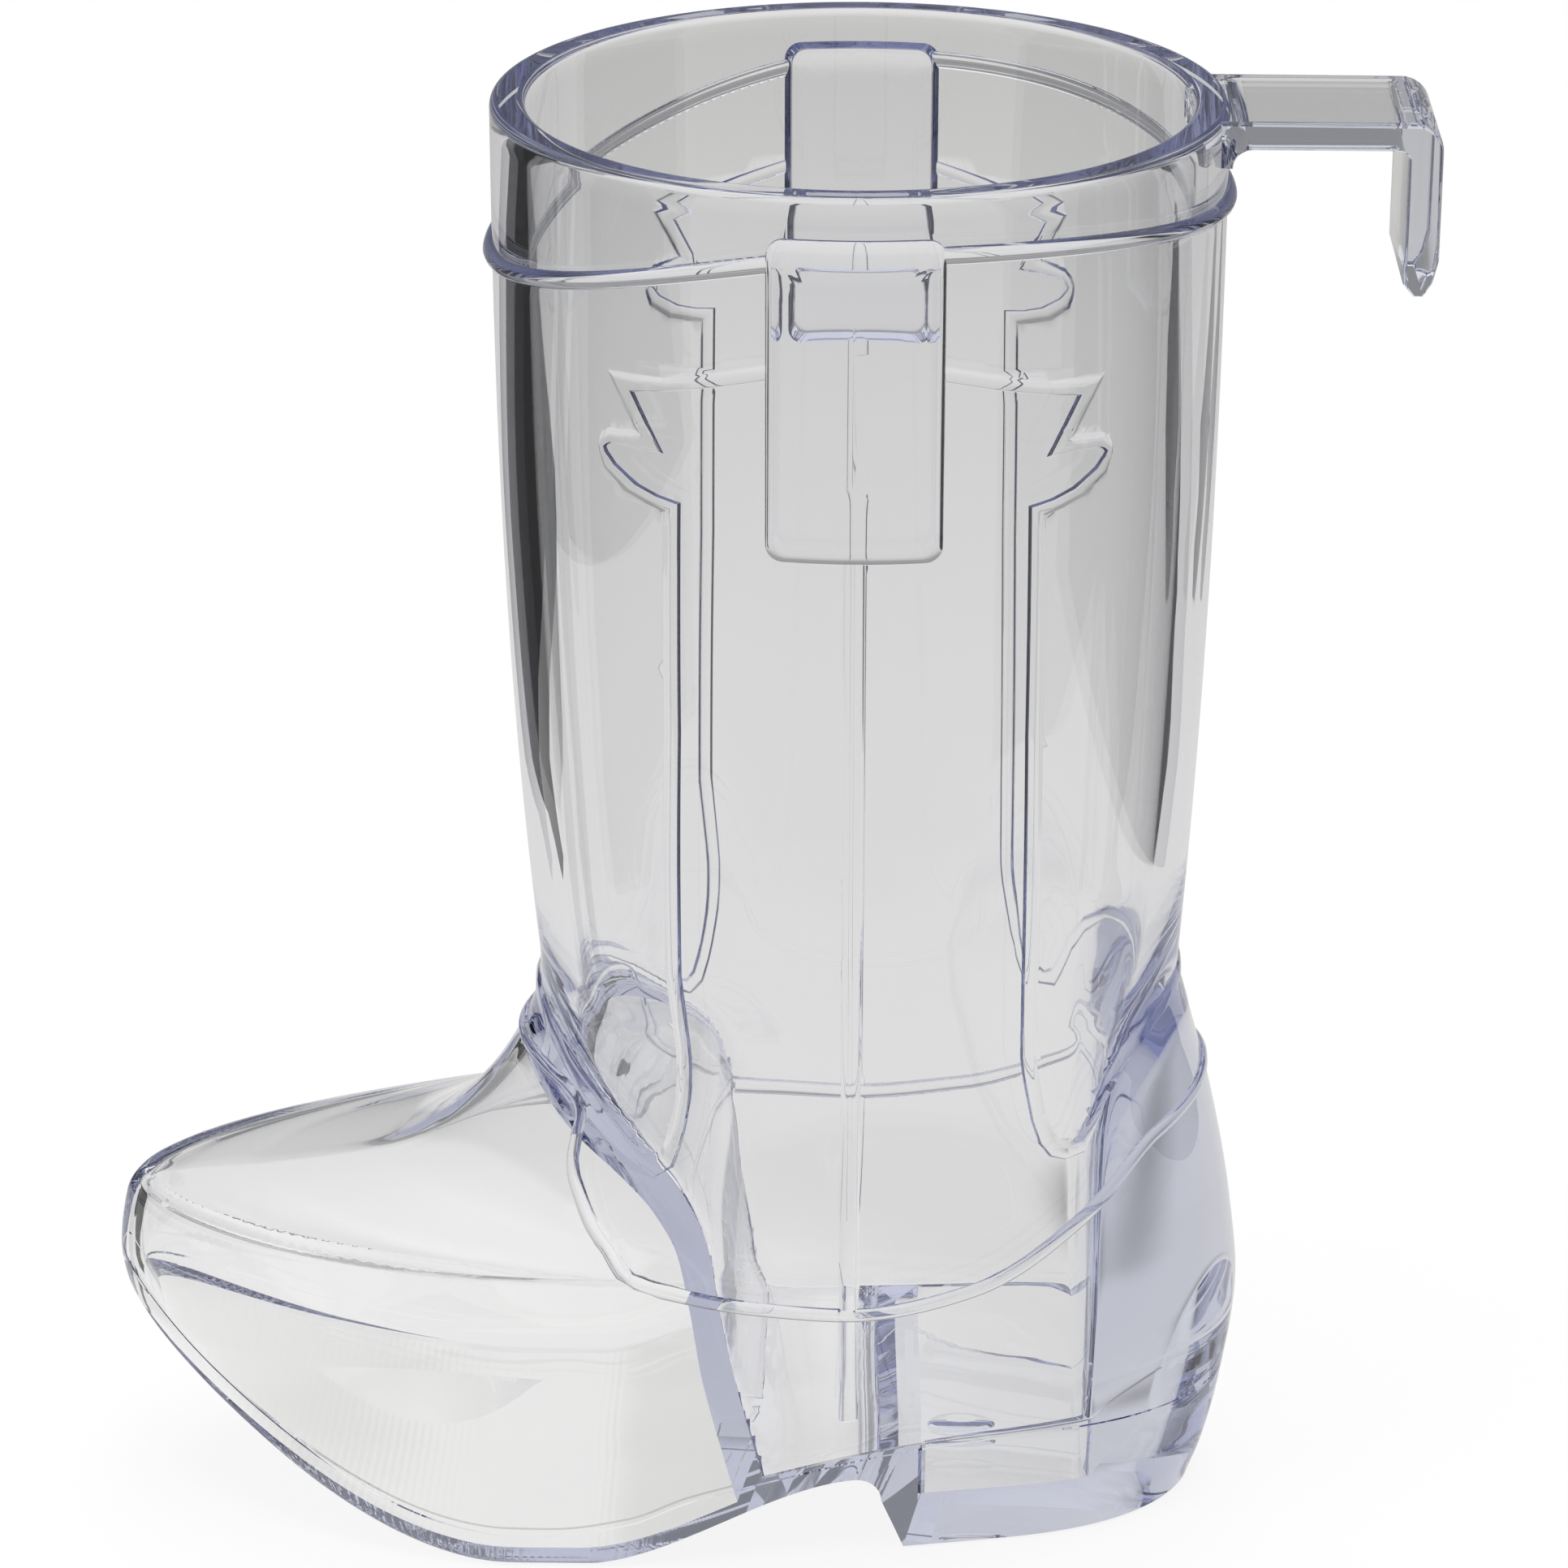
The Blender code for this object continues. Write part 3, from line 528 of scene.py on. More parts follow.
def mesh_object(name, vertices, faces):
    """An object from points in millimetres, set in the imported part's frame, its faces turned outwards."""
    mesh = bpy.data.meshes.new(name)
    points = (np.asarray(vertices, dtype=float) + np.array([SHIFT_X, 0.0, 0.0])) * MM
    mesh.from_pydata(points.tolist(), [], faces)
    bm = bmesh.new()
    bm.from_mesh(mesh)
    bmesh.ops.recalc_face_normals(bm, faces=bm.faces)
    bm.to_mesh(mesh)
    bm.free()
    obj = bpy.data.objects.new(name, mesh)
    bpy.context.scene.collection.objects.link(obj)
    return obj


def stacked(name, rings):
    """A closed solid from rings of points, one above the other."""
    count = len(rings[0])
    vertices = [p for ring in rings for p in ring]
    faces = []
    for i in range(len(rings) - 1):
        for j in range(count):
            k = (j + 1) % count
            faces.append((i * count + j, i * count + k, (i + 1) * count + k, (i + 1) * count + j))
    faces.append(tuple(range(count - 1, -1, -1)))
    faces.append(tuple((len(rings) - 1) * count + j for j in range(count)))
    return mesh_object(name, vertices, faces)


def prism(name, outline, half):
    """A closed outline in x and z, drawn out to both sides."""
    count = len(outline)
    vertices = [(x, -half, z) for x, z in outline] + [(x, half, z) for x, z in outline]
    faces = [(j, (j + 1) % count, count + (j + 1) % count, count + j) for j in range(count)]
    faces.append(tuple(range(count)))
    faces.append(tuple(range(2 * count - 1, count - 1, -1)))
    return mesh_object(name, vertices, faces)


def combine(target, tool, operation):
    """Joins or cuts with an exact Boolean, and removes the tool."""
    mod = target.modifiers.new(tool.name, "BOOLEAN")
    mod.operation = operation
    mod.solver = "EXACT"
    mod.object = tool
    graph = bpy.context.evaluated_depsgraph_get()
    mesh = bpy.data.meshes.new_from_object(target.evaluated_get(graph))
    target.modifiers.clear()
    target.data = mesh
    bpy.data.objects.remove(tool, do_unlink=True)


def boot_form(name, top):
    """The boot as one solid form from below the table, up to a height or to the rounded rim."""
    turn = turns()
    whole = top >= HEIGHT
    rings = [tucked(turn, np.full(AROUND, d)) for d in form_levels(HEIGHT - RIM_ROUND if whole else top)]
    if whole:
        edge = outside(turn, np.full(AROUND, HEIGHT))
        for bend in np.linspace(0.0, math.pi / 2, 8)[1:]:
            ring = edge.copy()
            ring[:, :2] *= (RIM_RADIUS - RIM_ROUND * (1 - math.cos(bend))) / RIM_RADIUS
            ring[:, 2] = HEIGHT - RIM_ROUND + RIM_ROUND * math.sin(bend)
            rings.append(ring)
    return stacked(name, rings)


def toe_chamber():
    """The hollow of the toe, closed at the back by the slanted wall and filled at the tip."""
    turn = turns()
    rings = []
    for z in levels(front_x, BELOW, ANKLE_Z + 4.0, STEP):
        at = np.full(AROUND, z)
        rings.append(outside(turn, at) - TOE_WALL * normals(turn, at))
    room = stacked("toe_space", rings)
    heights = np.linspace(CHAMBER_LOW, ANKLE_Z, 160)
    outline = [(float(x), float(z)) for x, z in zip(chamber_back_x(heights), heights)]
    start = TOE_SOLID - TOE_REACH
    foot = float(seam_z(start)) + 0.2
    far = TOE_SOLID + 4.0
    outline += [(start - far, ANKLE_Z), (start - far, foot + TOE_SOLID_RISE * far), (start, foot)]
    outline.append((start + 0.8, CHAMBER_LOW))
    combine(room, prism("toe_side", outline, SPREAD), "INTERSECT")
    return room


def kept_between(x, low, high, soft):
    """Values held between two limits, with a soft turn at each."""
    x = low + 0.5 * (x - low + np.sqrt((x - low) ** 2 + soft * soft))
    return high - 0.5 * (high - x + np.sqrt((high - x) ** 2 + soft * soft))


def well_ring(z):
    """The well's plan at height z: one wall inside the outer surface, held between front and back."""
    turn = turns()
    at = np.full(AROUND, z)
    n = normals(turn, at)[:, :2]
    n = n / np.linalg.norm(n, axis=1, keepdims=True)
    ring = outside(turn, at)
    ring[:, :2] -= WALL * n
    ring[:, 0] = kept_between(ring[:, 0], well_front_x(at), well_back_x(at), WELL_CORNER)
    return ring


def drinking_well():
    """The cup's inside, from above the rim down through the sole's bond."""
    rings = [well_ring(z) for z in levels(well_front_x, BELOW, HEIGHT - RIM_ROUND, 1.2 * STEP)]
    top = well_ring(HEIGHT - RIM_ROUND)
    for bend in np.linspace(0.0, math.pi / 2, 8)[1:]:
        grown = 1.0 + RIM_ROUND * (1 - math.cos(bend)) / (RIM_RADIUS - WALL)
        ring = top * np.array([grown, grown, 0.0])
        ring[:, 2] = HEIGHT - RIM_ROUND + RIM_ROUND * math.sin(bend)
        rings.append(ring)
    above = rings[-1].copy()
    above[:, 2] = HEIGHT + 2.0
    rings.append(above)
    return stacked("drinking_well", rings)


def bond_line(lift):
    """The bond line's course from front to back, lifted by this much."""
    return [(float(x), float(seam_z(x)) + lift) for x in np.linspace(-SPREAD, SPREAD, SIDE_POINTS)]


def below_seam():
    """Everything under the bond line, cut away from the upper."""
    return prism("below_seam", bond_line(JOIN_GAP) + [(SPREAD, -SPREAD), (-SPREAD, -SPREAD)], SPREAD)


def sole_layer():
    """The layer between the underside and the bond line."""
    return prism("sole_layer", underside() + bond_line(BOND_PAD)[::-1], SPREAD)


def floor_step(room, low):
    """The part of a hollow that is cut into the sole's upper face, down to this line."""
    combine(room, prism("step", low + bond_line(3.0)[::-1], SPREAD - 2.0), "INTERSECT")
    return room


def plate_line():
    """The upper face of the thin plate under the hollow toe, as x and z."""
    return [(float(x), float(arch_z(x)) + SOLE_PLATE) for x in np.linspace(-SPREAD, SPREAD, SIDE_POINTS)]


FLAT_BEAD = [(0.0, 0.0), (0.04, 0.28), (0.10, 0.64), (0.18, 0.90), (0.27, 1.0), (0.5, 1.02),
             (0.73, 1.0), (0.82, 0.90), (0.90, 0.64), (0.96, 0.28), (1.0, 0.0)]
PANEL_BEAD = [(0.0, 0.0), (0.07, 0.16), (0.16, 0.42), (0.27, 0.74), (0.40, 0.95), (0.60, 1.0),
              (0.80, 1.02), (0.89, 0.95), (0.95, 0.62), (1.0, 0.0)]
ROUND_BEAD = [(0.0, 0.0), (0.05, 0.30), (0.14, 0.60), (0.30, 0.87), (0.5, 1.0),
              (0.70, 0.87), (0.86, 0.60), (0.95, 0.30), (1.0, 0.0)]


def raised(name, one, other, proud, section, closed):
    """A raised line between two edges on the outer surface, each a list of turns and heights."""
    def row(share, lift):
        at = one + share * (other - one)
        return outside(at[:, 0], at[:, 1]) + lift * normals(at[:, 0], at[:, 1])

    rows = [row(0.0, -SUNK), row(1.0, -SUNK)]
    rows += [row(share, lift * proud) for share, lift in reversed(section)]
    count = len(one)
    layers = len(rows)
    vertices = [p for points in rows for p in points]
    faces = []
    for r in range(layers):
        q = (r + 1) % layers
        for i in range(count if closed else count - 1):
            k = (i + 1) % count
            faces.append((r * count + i, r * count + k, q * count + k, q * count + i))
    if not closed:
        faces.append(tuple(r * count for r in range(layers)))
        faces.append(tuple(r * count + count - 1 for r in range(layers - 1, -1, -1)))
    return mesh_object(name, vertices, faces)


def along(turn, z, wide, closed):
    """The two edges, as turns and heights, of a line of even width round a centre line."""
    centre = outside(turn, z)
    if closed:
        ahead = np.roll(centre, -1, axis=0) - np.roll(centre, 1, axis=0)
    else:
        ahead = np.gradient(centre, axis=0)
    side = np.cross(normals(turn, z), ahead)
    side = side / np.linalg.norm(side, axis=1, keepdims=True)
    small = 0.01
    by_turn = (outside(turn + small, z) - outside(turn - small, z)) / (2 * small)
    lift = 0.05
    by_z = (outside(turn, z + lift) - outside(turn, z - lift)) / (2 * lift)
    edges = []
    for sign in (-1.0, 1.0):
        step = sign * 0.5 * wide * side
        a = np.sum(by_turn * by_turn, axis=1)
        b = np.sum(by_turn * by_z, axis=1)
        d = np.sum(by_z * by_z, axis=1)
        e = np.sum(by_turn * step, axis=1)
        f = np.sum(by_z * step, axis=1)
        det = a * d - b * b
        edges.append(np.stack([turn + (d * e - b * f) / det, z + (a * f - b * e) / det], axis=-1))
    return edges


def collar_z(turn):
    """Height of the collar band's middle: high at the straps, low at the front."""
    ahead = np.cos(turn)
    front = COLLAR_FRONT_DIP * np.abs(ahead) ** 1.5
    dip = np.where(ahead > 0, front, COLLAR_BACK_DIP * np.abs(ahead) ** 3)
    return HEIGHT - COLLAR_DROP - dip


def collar_band():
    """The scalloped band round the shaft below the rim."""
    turn = turns()
    one, other = along(turn, collar_z(turn), COLLAR_WIDE, True)
    return raised("collar_band", one, other, COLLAR_PROUD, ROUND_BEAD, True)


def ankle_band():
    """The line between foot and shaft, which hangs down in a deep loop on each side."""
    deep = BAND_FRONT_Z - BAND_SIDE_Z
    lift = BAND_BACK_Z - BAND_SIDE_Z
    loop = [
        (0.0, BAND_FRONT_Z),
        (0.35, BAND_FRONT_Z - 0.01 * deep),
        (0.56, BAND_FRONT_Z - 0.035 * deep),
        (0.66, BAND_FRONT_Z - 0.08 * deep),
        (0.705, BAND_FRONT_Z - 0.15 * deep),
        (0.732, BAND_FRONT_Z - 0.255 * deep),
        (0.772, BAND_FRONT_Z - 0.375 * deep),
        (0.878, BAND_FRONT_Z - 0.52 * deep),
        (0.99, BAND_FRONT_Z - 0.635 * deep),
        (1.13, BAND_FRONT_Z - 0.74 * deep),
        (1.25, BAND_FRONT_Z - 0.825 * deep),
        (1.36, BAND_FRONT_Z - 0.895 * deep),
        (1.5, BAND_FRONT_Z - 0.967 * deep),
        (1.65, BAND_SIDE_Z),
        (1.91, BAND_SIDE_Z + 0.13 * lift),
        (2.21, BAND_SIDE_Z + 0.49 * lift),
        (2.56, BAND_SIDE_Z + 0.88 * lift),
        (math.pi, BAND_BACK_Z),
    ]
    fine = np.linspace(0.0, math.pi, 800)
    line = outside(fine, through(loop, fine))
    run = np.concatenate([[0.0], np.cumsum(np.linalg.norm(np.diff(line, axis=0), axis=1))])
    near = np.interp(np.linspace(0.0, run[-1], int(run[-1] / LINE_STEP)), run, fine)
    turn = np.concatenate([near, -near[-2:0:-1]])
    one, other = along(turn, through(loop, np.abs(turn)), BAND_WIDE, True)
    return raised("ankle_band", one, other, BAND_PROUD, ROUND_BEAD, True)


def side_seam(name, side):
    """The upright seam from the strap down to just above the sole."""
    top = HEIGHT - STRAP_TOP_DROP - STRAP_LONG + 1.0
    z = np.linspace(top, SEAM_FOOT_Z, int((top - SEAM_FOOT_Z) / LINE_STEP))
    turn = side * turn_at(np.zeros_like(z), z)
    one, other = along(turn, z, SEAM_WIDE, False)
    return raised(name, one, other, SEAM_PROUD, FLAT_BEAD, False)


# One side of a panel's outline, from the strap down: pairs of edge points, outer first, each as the
# distance from the middle of the side and the height
PANEL_SHAFT = [
    ((4.0, 74.30), (4.0, 73.42)),
    ((7.5, 73.40), (7.4, 72.55)),
    ((9.75, 72.74), (9.75, 71.98)),
    ((13.0, 72.40), (11.55, 71.55)),
    ((11.5, 69.50), (10.0, 68.50)),
    ((12.95, 69.22), (12.75, 68.43)),
    ((13.35, 68.85), (13.0, 68.25)),
    ((13.55, 68.30), (13.1, 68.10)),
    ((13.5, 67.70), (13.0, 67.90)),
    ((13.25, 66.86), (12.55, 67.33)),
    ((12.1, 65.87), (11.4, 66.53)),
    ((10.95, 65.47), (10.3, 66.14)),
    ((10.05, 65.20), (9.1, 65.93)),
    ((10.12, 52.60), (9.17, 52.60)),
    ((10.2, 37.60), (9.27, 37.60)),
]
# The panels' feet: pairs of edge points as turn and height, upper edge first
FRONT_FOOT = [
    ((1.020, 28.60), (1.075, 28.60)),
    ((1.025, 27.00), (1.083, 26.60)),
    ((1.025, 26.20), (1.085, 25.30)),
    ((1.010, 25.80), (1.050, 24.60)),
    ((0.970, 26.00), (0.984, 25.00)),
    ((0.870, 27.10), (0.870, 26.05)),
    ((0.700, 28.75), (0.696, 27.56)),
    ((0.464, 30.40), (0.464, 29.17)),
    ((0.250, 31.45), (0.250, 30.15)),
    ((0.116, 31.85), (0.116, 30.55)),
    ((0.0, 32.00), (0.0, 30.70)),
]
BACK_FOOT = [
    ((2.160, 28.60), (2.105, 28.60)),
    ((2.172, 27.60), (2.118, 27.00)),
    ((2.190, 27.00), (2.145, 26.10)),
    ((2.225, 26.70), (2.190, 25.70)),
    ((2.265, 27.10), (2.260, 25.85)),
    ((2.385, 29.80), (2.385, 28.60)),
    ((2.500, 31.30), (2.500, 30.20)),
    ((2.692, 32.45), (2.692, 31.40)),
    ((2.918, 33.00), (2.918, 31.90)),
    ((math.pi, 33.15), (math.pi, 32.00)),
]


def panel_line(name, sign, foot):
    """The raised outline of the shaft's front or back panel, from one strap round to the other."""
    pairs = []
    for outer, inner in PANEL_SHAFT:
        x = np.array([sign * outer[0], sign * inner[0]])
        z = np.array([outer[1], inner[1]])
        t = turn_at(x, z)
        pairs.append(((t[0], z[0]), (t[1], z[1])))
    pairs += foot
    pairs = np.array(pairs)
    fine = [pairs[0]]
    for a, b in zip(pairs[:-1], pairs[1:]):
        ends = [outside(p[:, 0], p[:, 1]) for p in (a, b)]
        parts = max(int(np.linalg.norm(ends[1] - ends[0], axis=1).max() / (2.5 * LINE_STEP)), 1)
        for i in range(1, parts + 1):
            fine.append(a + (b - a) * i / parts)
    near = np.array(fine)
    far = near[-2::-1].copy()
    if sign < 0:
        far[..., 0] *= -1
    else:
        far[..., 0] = 2 * math.pi - far[..., 0]
    path = np.concatenate([near, far])
    return raised(name, path[:, 0], path[:, 1], PANEL_PROUD, PANEL_BEAD, False)


def pull_strap(name, side, flank, bend_radius):
    """A flat strap with rounded corners below the rim; its flanks lean in and end in a bend."""
    top = HEIGHT - STRAP_TOP_DROP
    low = top - STRAP_LONG
    middle = 0.5 * (top + low)
    outline = []
    for cx, cz, start in ((1, 1, 0.0), (-1, 1, 0.5), (-1, -1, 1.0), (1, -1, 1.5)):
        for a in np.linspace(start, start + 0.5, 9) * math.pi:
            outline.append((cx * (STRAP_HALF - STRAP_CORNER) + STRAP_CORNER * math.cos(a),
                            middle + cz * (0.5 * STRAP_LONG - STRAP_CORNER) + STRAP_CORNER * math.sin(a)))
    outline = np.array(outline)
    path = []
    for a, b in zip(outline, np.roll(outline, -1, axis=0)):
        parts = max(int(np.linalg.norm(b - a) / 0.8), 1)
        path += [a + (b - a) * i / parts for i in range(parts)]
    path = np.array(path)
    foot = STRAP_PROUD - bend_radius * (1 - math.sin(flank))
    wider = 0.3 * STRAP_ROUND
    start = foot * math.tan(flank) - wider
    layers = [(-wider, -SUNK), (-wider, 0.0)]
    for bend in np.linspace(flank, math.pi / 2, 7):
        layers.append((start + bend_radius * (math.cos(flank) - math.cos(bend)),
                       foot + bend_radius * (math.sin(bend) - math.sin(flank))))
    layers += [(inset, STRAP_PROUD) for inset in np.linspace(0.9, STRAP_HALF - 0.1, 7)]
    rings = []
    for inset, proud in layers:
        size = np.array([1 - inset / STRAP_HALF, 1 - inset / (0.5 * STRAP_LONG)])
        p = (path - [0.0, middle]) * size + [0.0, middle]
        turn = side * turn_at(p[:, 0], p[:, 1])
        thin = np.clip((p[:, 1] - top + STRAP_BEVEL) / STRAP_BEVEL, 0.0, 1.0)
        out = proud - STRAP_THIN * max(proud, 0.0) * thin
        rings.append(outside(turn, p[:, 1]) + out[:, None] * normals(turn, p[:, 1]))
    return stacked(name, rings)


def quarter(centre_x, centre_z, radius, start, end):
    """Points of an arc in x and z, angles in quarter turns from +x."""
    return [(centre_x + radius * math.cos(a * math.pi / 2), centre_z + radius * math.sin(a * math.pi / 2))
            for a in np.linspace(start, end, 10)]


def hook():
    """The hanging hook: an arm level with the rim and a short leg, filleted at its root."""
    top = HEIGHT - HOOK_BELOW_RIM
    under = top - HOOK_ARM
    root = 0.5 * (math.sqrt(RIM_RADIUS ** 2 - HOOK_HALF ** 2) + RIM_RADIUS - WALL)
    inner = HOOK_REACH - HOOK_LEG
    tip = HEIGHT - HOOK_DROP
    outline = [(root, top)]
    outline += quarter(HOOK_REACH - HOOK_CORNER, top - HOOK_CORNER, HOOK_CORNER, 1.0, 0.0)
    outline += [(HOOK_REACH, tip + HOOK_TAPER), (HOOK_REACH - 0.14 * HOOK_LEG, tip + 0.4 * HOOK_TAPER)]
    outline += [(HOOK_REACH - 0.42 * HOOK_LEG, tip), (inner + 0.8 * HOOK_CHAMFER, tip)]
    outline += [(inner, tip + HOOK_CHAMFER)]
    outline += quarter(inner - 0.5 * HOOK_FILLET, under - 0.5 * HOOK_FILLET, 0.5 * HOOK_FILLET, 0.0, 1.0)
    outline += quarter(RIM_RADIUS + HOOK_FILLET, under - HOOK_FILLET, HOOK_FILLET, 1.0, 2.0)
    outline.append((root, under - HOOK_FILLET))
    line = np.array(outline)
    ahead = np.roll(line, -1, axis=0) - line
    ahead = ahead / np.linalg.norm(ahead, axis=1, keepdims=True)
    inward = np.stack([ahead[:, 1], -ahead[:, 0]], axis=1)
    inward = inward + np.roll(inward, 1, axis=0)
    inward = inward / np.linalg.norm(inward, axis=1, keepdims=True)
    rings = []
    for y, inset in ((-1.0, 1.0), (-0.97, 0.5), (-0.9, 0.15), (0.9, 0.15), (0.97, 0.5), (1.0, 1.0)):
        edge = line + HOOK_SOFT * inset * inward
        rings.append([(x, y * HOOK_HALF, z) for x, z in edge])
    return stacked("hook", rings)


def heel_pocket():
    """The hollow in the top of the heel, under the drinking well."""
    turn = turns()
    at = np.full(AROUND, HEEL_FLOOR)
    n = normals(turn, at)[:, :2]
    ring = outside(turn, at)
    ring[:, :2] -= WALL * n / np.linalg.norm(n, axis=1, keepdims=True)
    ring[:, 0] = kept_between(ring[:, 0], POCKET_FRONT_X, WELL_BACK_X, 0.5 * WELL_CORNER)
    rings = []
    for z in (HEEL_FLOOR, HEEL_HIGH + 3.0):
        layer = ring.copy()
        layer[:, 2] = z
        rings.append(layer)
    return stacked("heel_pocket", rings)


def gate_mark():
    """The low oval left by the mould's gate on the heel pocket's floor."""
    turn = np.linspace(0.0, 2 * math.pi, 48, endpoint=False)
    rings = []
    for grow, z in ((1.0, -0.5), (1.0, 0.1), (0.94, 0.3), (0.8, 0.42), (0.5, 0.5)):
        x = GATE_X + GATE_LONG * grow * np.cos(turn)
        y = GATE_WIDE * grow * np.sin(turn)
        rings.append(np.stack([x, y, np.full_like(turn, HEEL_FLOOR + z)], axis=-1))
    return stacked("gate_mark", rings)


def smoothed(obj, degrees, flat):
    """Smooth shading, with some faces kept flat and the edges that turn by more than this left sharp."""
    mesh = obj.data
    mesh.set_sharp_from_angle(angle=math.radians(degrees))
    mesh.polygons.foreach_set("use_smooth", [not flat(face.normal) for face in mesh.polygons])
    mesh.update()


def mark_bond(obj, lift, up):
    """Marks the faces that lie on the bond line, facing up or down, where the plastic is joined."""
    mesh = obj.data
    centres = np.empty(3 * len(mesh.polygons))
    facing = np.empty(3 * len(mesh.polygons))
    mesh.polygons.foreach_get("center", centres)
    mesh.polygons.foreach_get("normal", facing)
    centres = centres.reshape(-1, 3) / MM
    level = seam_z(centres[:, 0] - SHIFT_X) + lift
    near = np.abs(centres[:, 2] - level) < BOND_NEAR
    bonded = near & (up * facing.reshape(-1, 3)[:, 2] > BOND_FACING)
    mesh.attributes.new("bond", "FLOAT", "FACE").data.foreach_set("value", bonded.astype(np.float32))


def make_upper():
    """Shaft, foot, hollow toe, drinking well, relief and hook in one moulding."""
    upper = boot_form("clear_boot_upper", HEIGHT)
    relief = [collar_band(), ankle_band(), side_seam("seam_left", 1), side_seam("seam_right", -1)]
    relief += [panel_line("front_panel", -1, FRONT_FOOT), panel_line("back_panel", 1, BACK_FOOT)]
    relief.append(pull_strap("far_strap", 1, FAR_FLANK, FAR_ROUND))
    relief.append(pull_strap("near_strap", -1, NEAR_FLANK, STRAP_ROUND))
    relief.append(hook())
    for shape in relief:
        combine(upper, shape, "UNION")
    for cutter in (below_seam(), drinking_well(), toe_chamber()):
        combine(upper, cutter, "DIFFERENCE")
    smoothed(upper, SHARP_ANGLE, lambda n: abs(n.z) > 0.995 or abs(n.y) > 0.99995)
    return upper


def make_sole():
    """The sole with its toe spring, arched shank and hollow heel."""
    sole = boot_form("clear_sole_and_heel", TOE_TIP_Z + 4.0)
    combine(sole, sole_layer(), "INTERSECT")
    toe_step = floor_step(toe_chamber(), plate_line())
    well_step = floor_step(drinking_well(), bond_line(0.0))
    for cutter in (toe_step, well_step, heel_pocket()):
        combine(sole, cutter, "DIFFERENCE")
    combine(sole, gate_mark(), "UNION")
    smoothed(sole, SHARP_ANGLE, lambda n: abs(n.y) < 0.01)
    return sole


def clear_plastic(name):
    """Clear moulded polystyrene: tinted in its depth, with faint flow waves and handling marks."""
    mat = bpy.data.materials.new(name)
    mat.use_nodes = True
    nodes = mat.node_tree.nodes
    links = mat.node_tree.links
    shader = nodes["Principled BSDF"]
    shader.inputs["Base Color"].default_value = (1.0, 1.0, 1.0, 1.0)
    shader.inputs["Metallic"].default_value = 0.0
    shader.inputs["Transmission Weight"].default_value = 1.0
    joined = nodes.new("ShaderNodeAttribute")
    joined.attribute_name = "bond"
    bend = nodes.new("ShaderNodeMapRange")
    bend.inputs["To Min"].default_value = PLASTIC_IOR
    bend.inputs["To Max"].default_value = JOINED_IOR
    links.new(joined.outputs["Fac"], bend.inputs["Value"])
    links.new(bend.outputs["Result"], shader.inputs["IOR"])
    place = nodes.new("ShaderNodeTexCoord")
    marks = nodes.new("ShaderNodeTexNoise")
    marks.inputs["Scale"].default_value = 260.0
    marks.inputs["Detail"].default_value = 3.0
    links.new(place.outputs["Object"], marks.inputs["Vector"])
    rough = nodes.new("ShaderNodeMapRange")
    rough.inputs["From Min"].default_value = 0.45
    rough.inputs["From Max"].default_value = 0.8
    rough.inputs["To Min"].default_value = 0.0
    rough.inputs["To Max"].default_value = 0.05
    links.new(marks.outputs["Fac"], rough.inputs["Value"])
    links.new(rough.outputs["Result"], shader.inputs["Roughness"])
    flow = nodes.new("ShaderNodeTexNoise")
    flow.inputs["Scale"].default_value = 90.0
    flow.inputs["Detail"].default_value = 0.5
    links.new(place.outputs["Object"], flow.inputs["Vector"])
    bump = nodes.new("ShaderNodeBump")
    bump.inputs["Strength"].default_value = 0.2
    bump.inputs["Distance"].default_value = 0.00003
    links.new(flow.outputs["Fac"], bump.inputs["Height"])
    links.new(bump.outputs["Normal"], shader.inputs["Normal"])
    depth = nodes.new("ShaderNodeVolumeAbsorption")
    depth.inputs["Color"].default_value = TINT
    depth.inputs["Density"].default_value = TINT_DENSITY
    links.new(depth.outputs["Volume"], nodes["Material Output"].inputs["Volume"])
    return mat


def seen_directly(nodes, links):
    """One where a camera, mirror or see-through ray looks, zero for light that only falls on things."""
    path = nodes.new("ShaderNodeLightPath")
    total = None
    for kind in ("Is Camera Ray", "Is Glossy Ray", "Is Transmission Ray"):
        if total is None:
            total = path.outputs[kind]
            continue
        add = nodes.new("ShaderNodeMath")
        add.operation = "ADD"
        add.use_clamp = True
        links.new(total, add.inputs[0])
        links.new(path.outputs[kind], add.inputs[1])
        total = add.outputs["Value"]
    return path, total


def fill_ramp(ramp, shades, tint):
    """Sets a colour ramp's steps, each a position and a brightness, in one tint."""
    elements = ramp.color_ramp.elements
    while len(elements) < len(shades):
        elements.new(1.0)
    for element, (position, shade) in zip(elements, shades):
        element.position = position
        element.color = (*[part * shade for part in tint], 1.0)


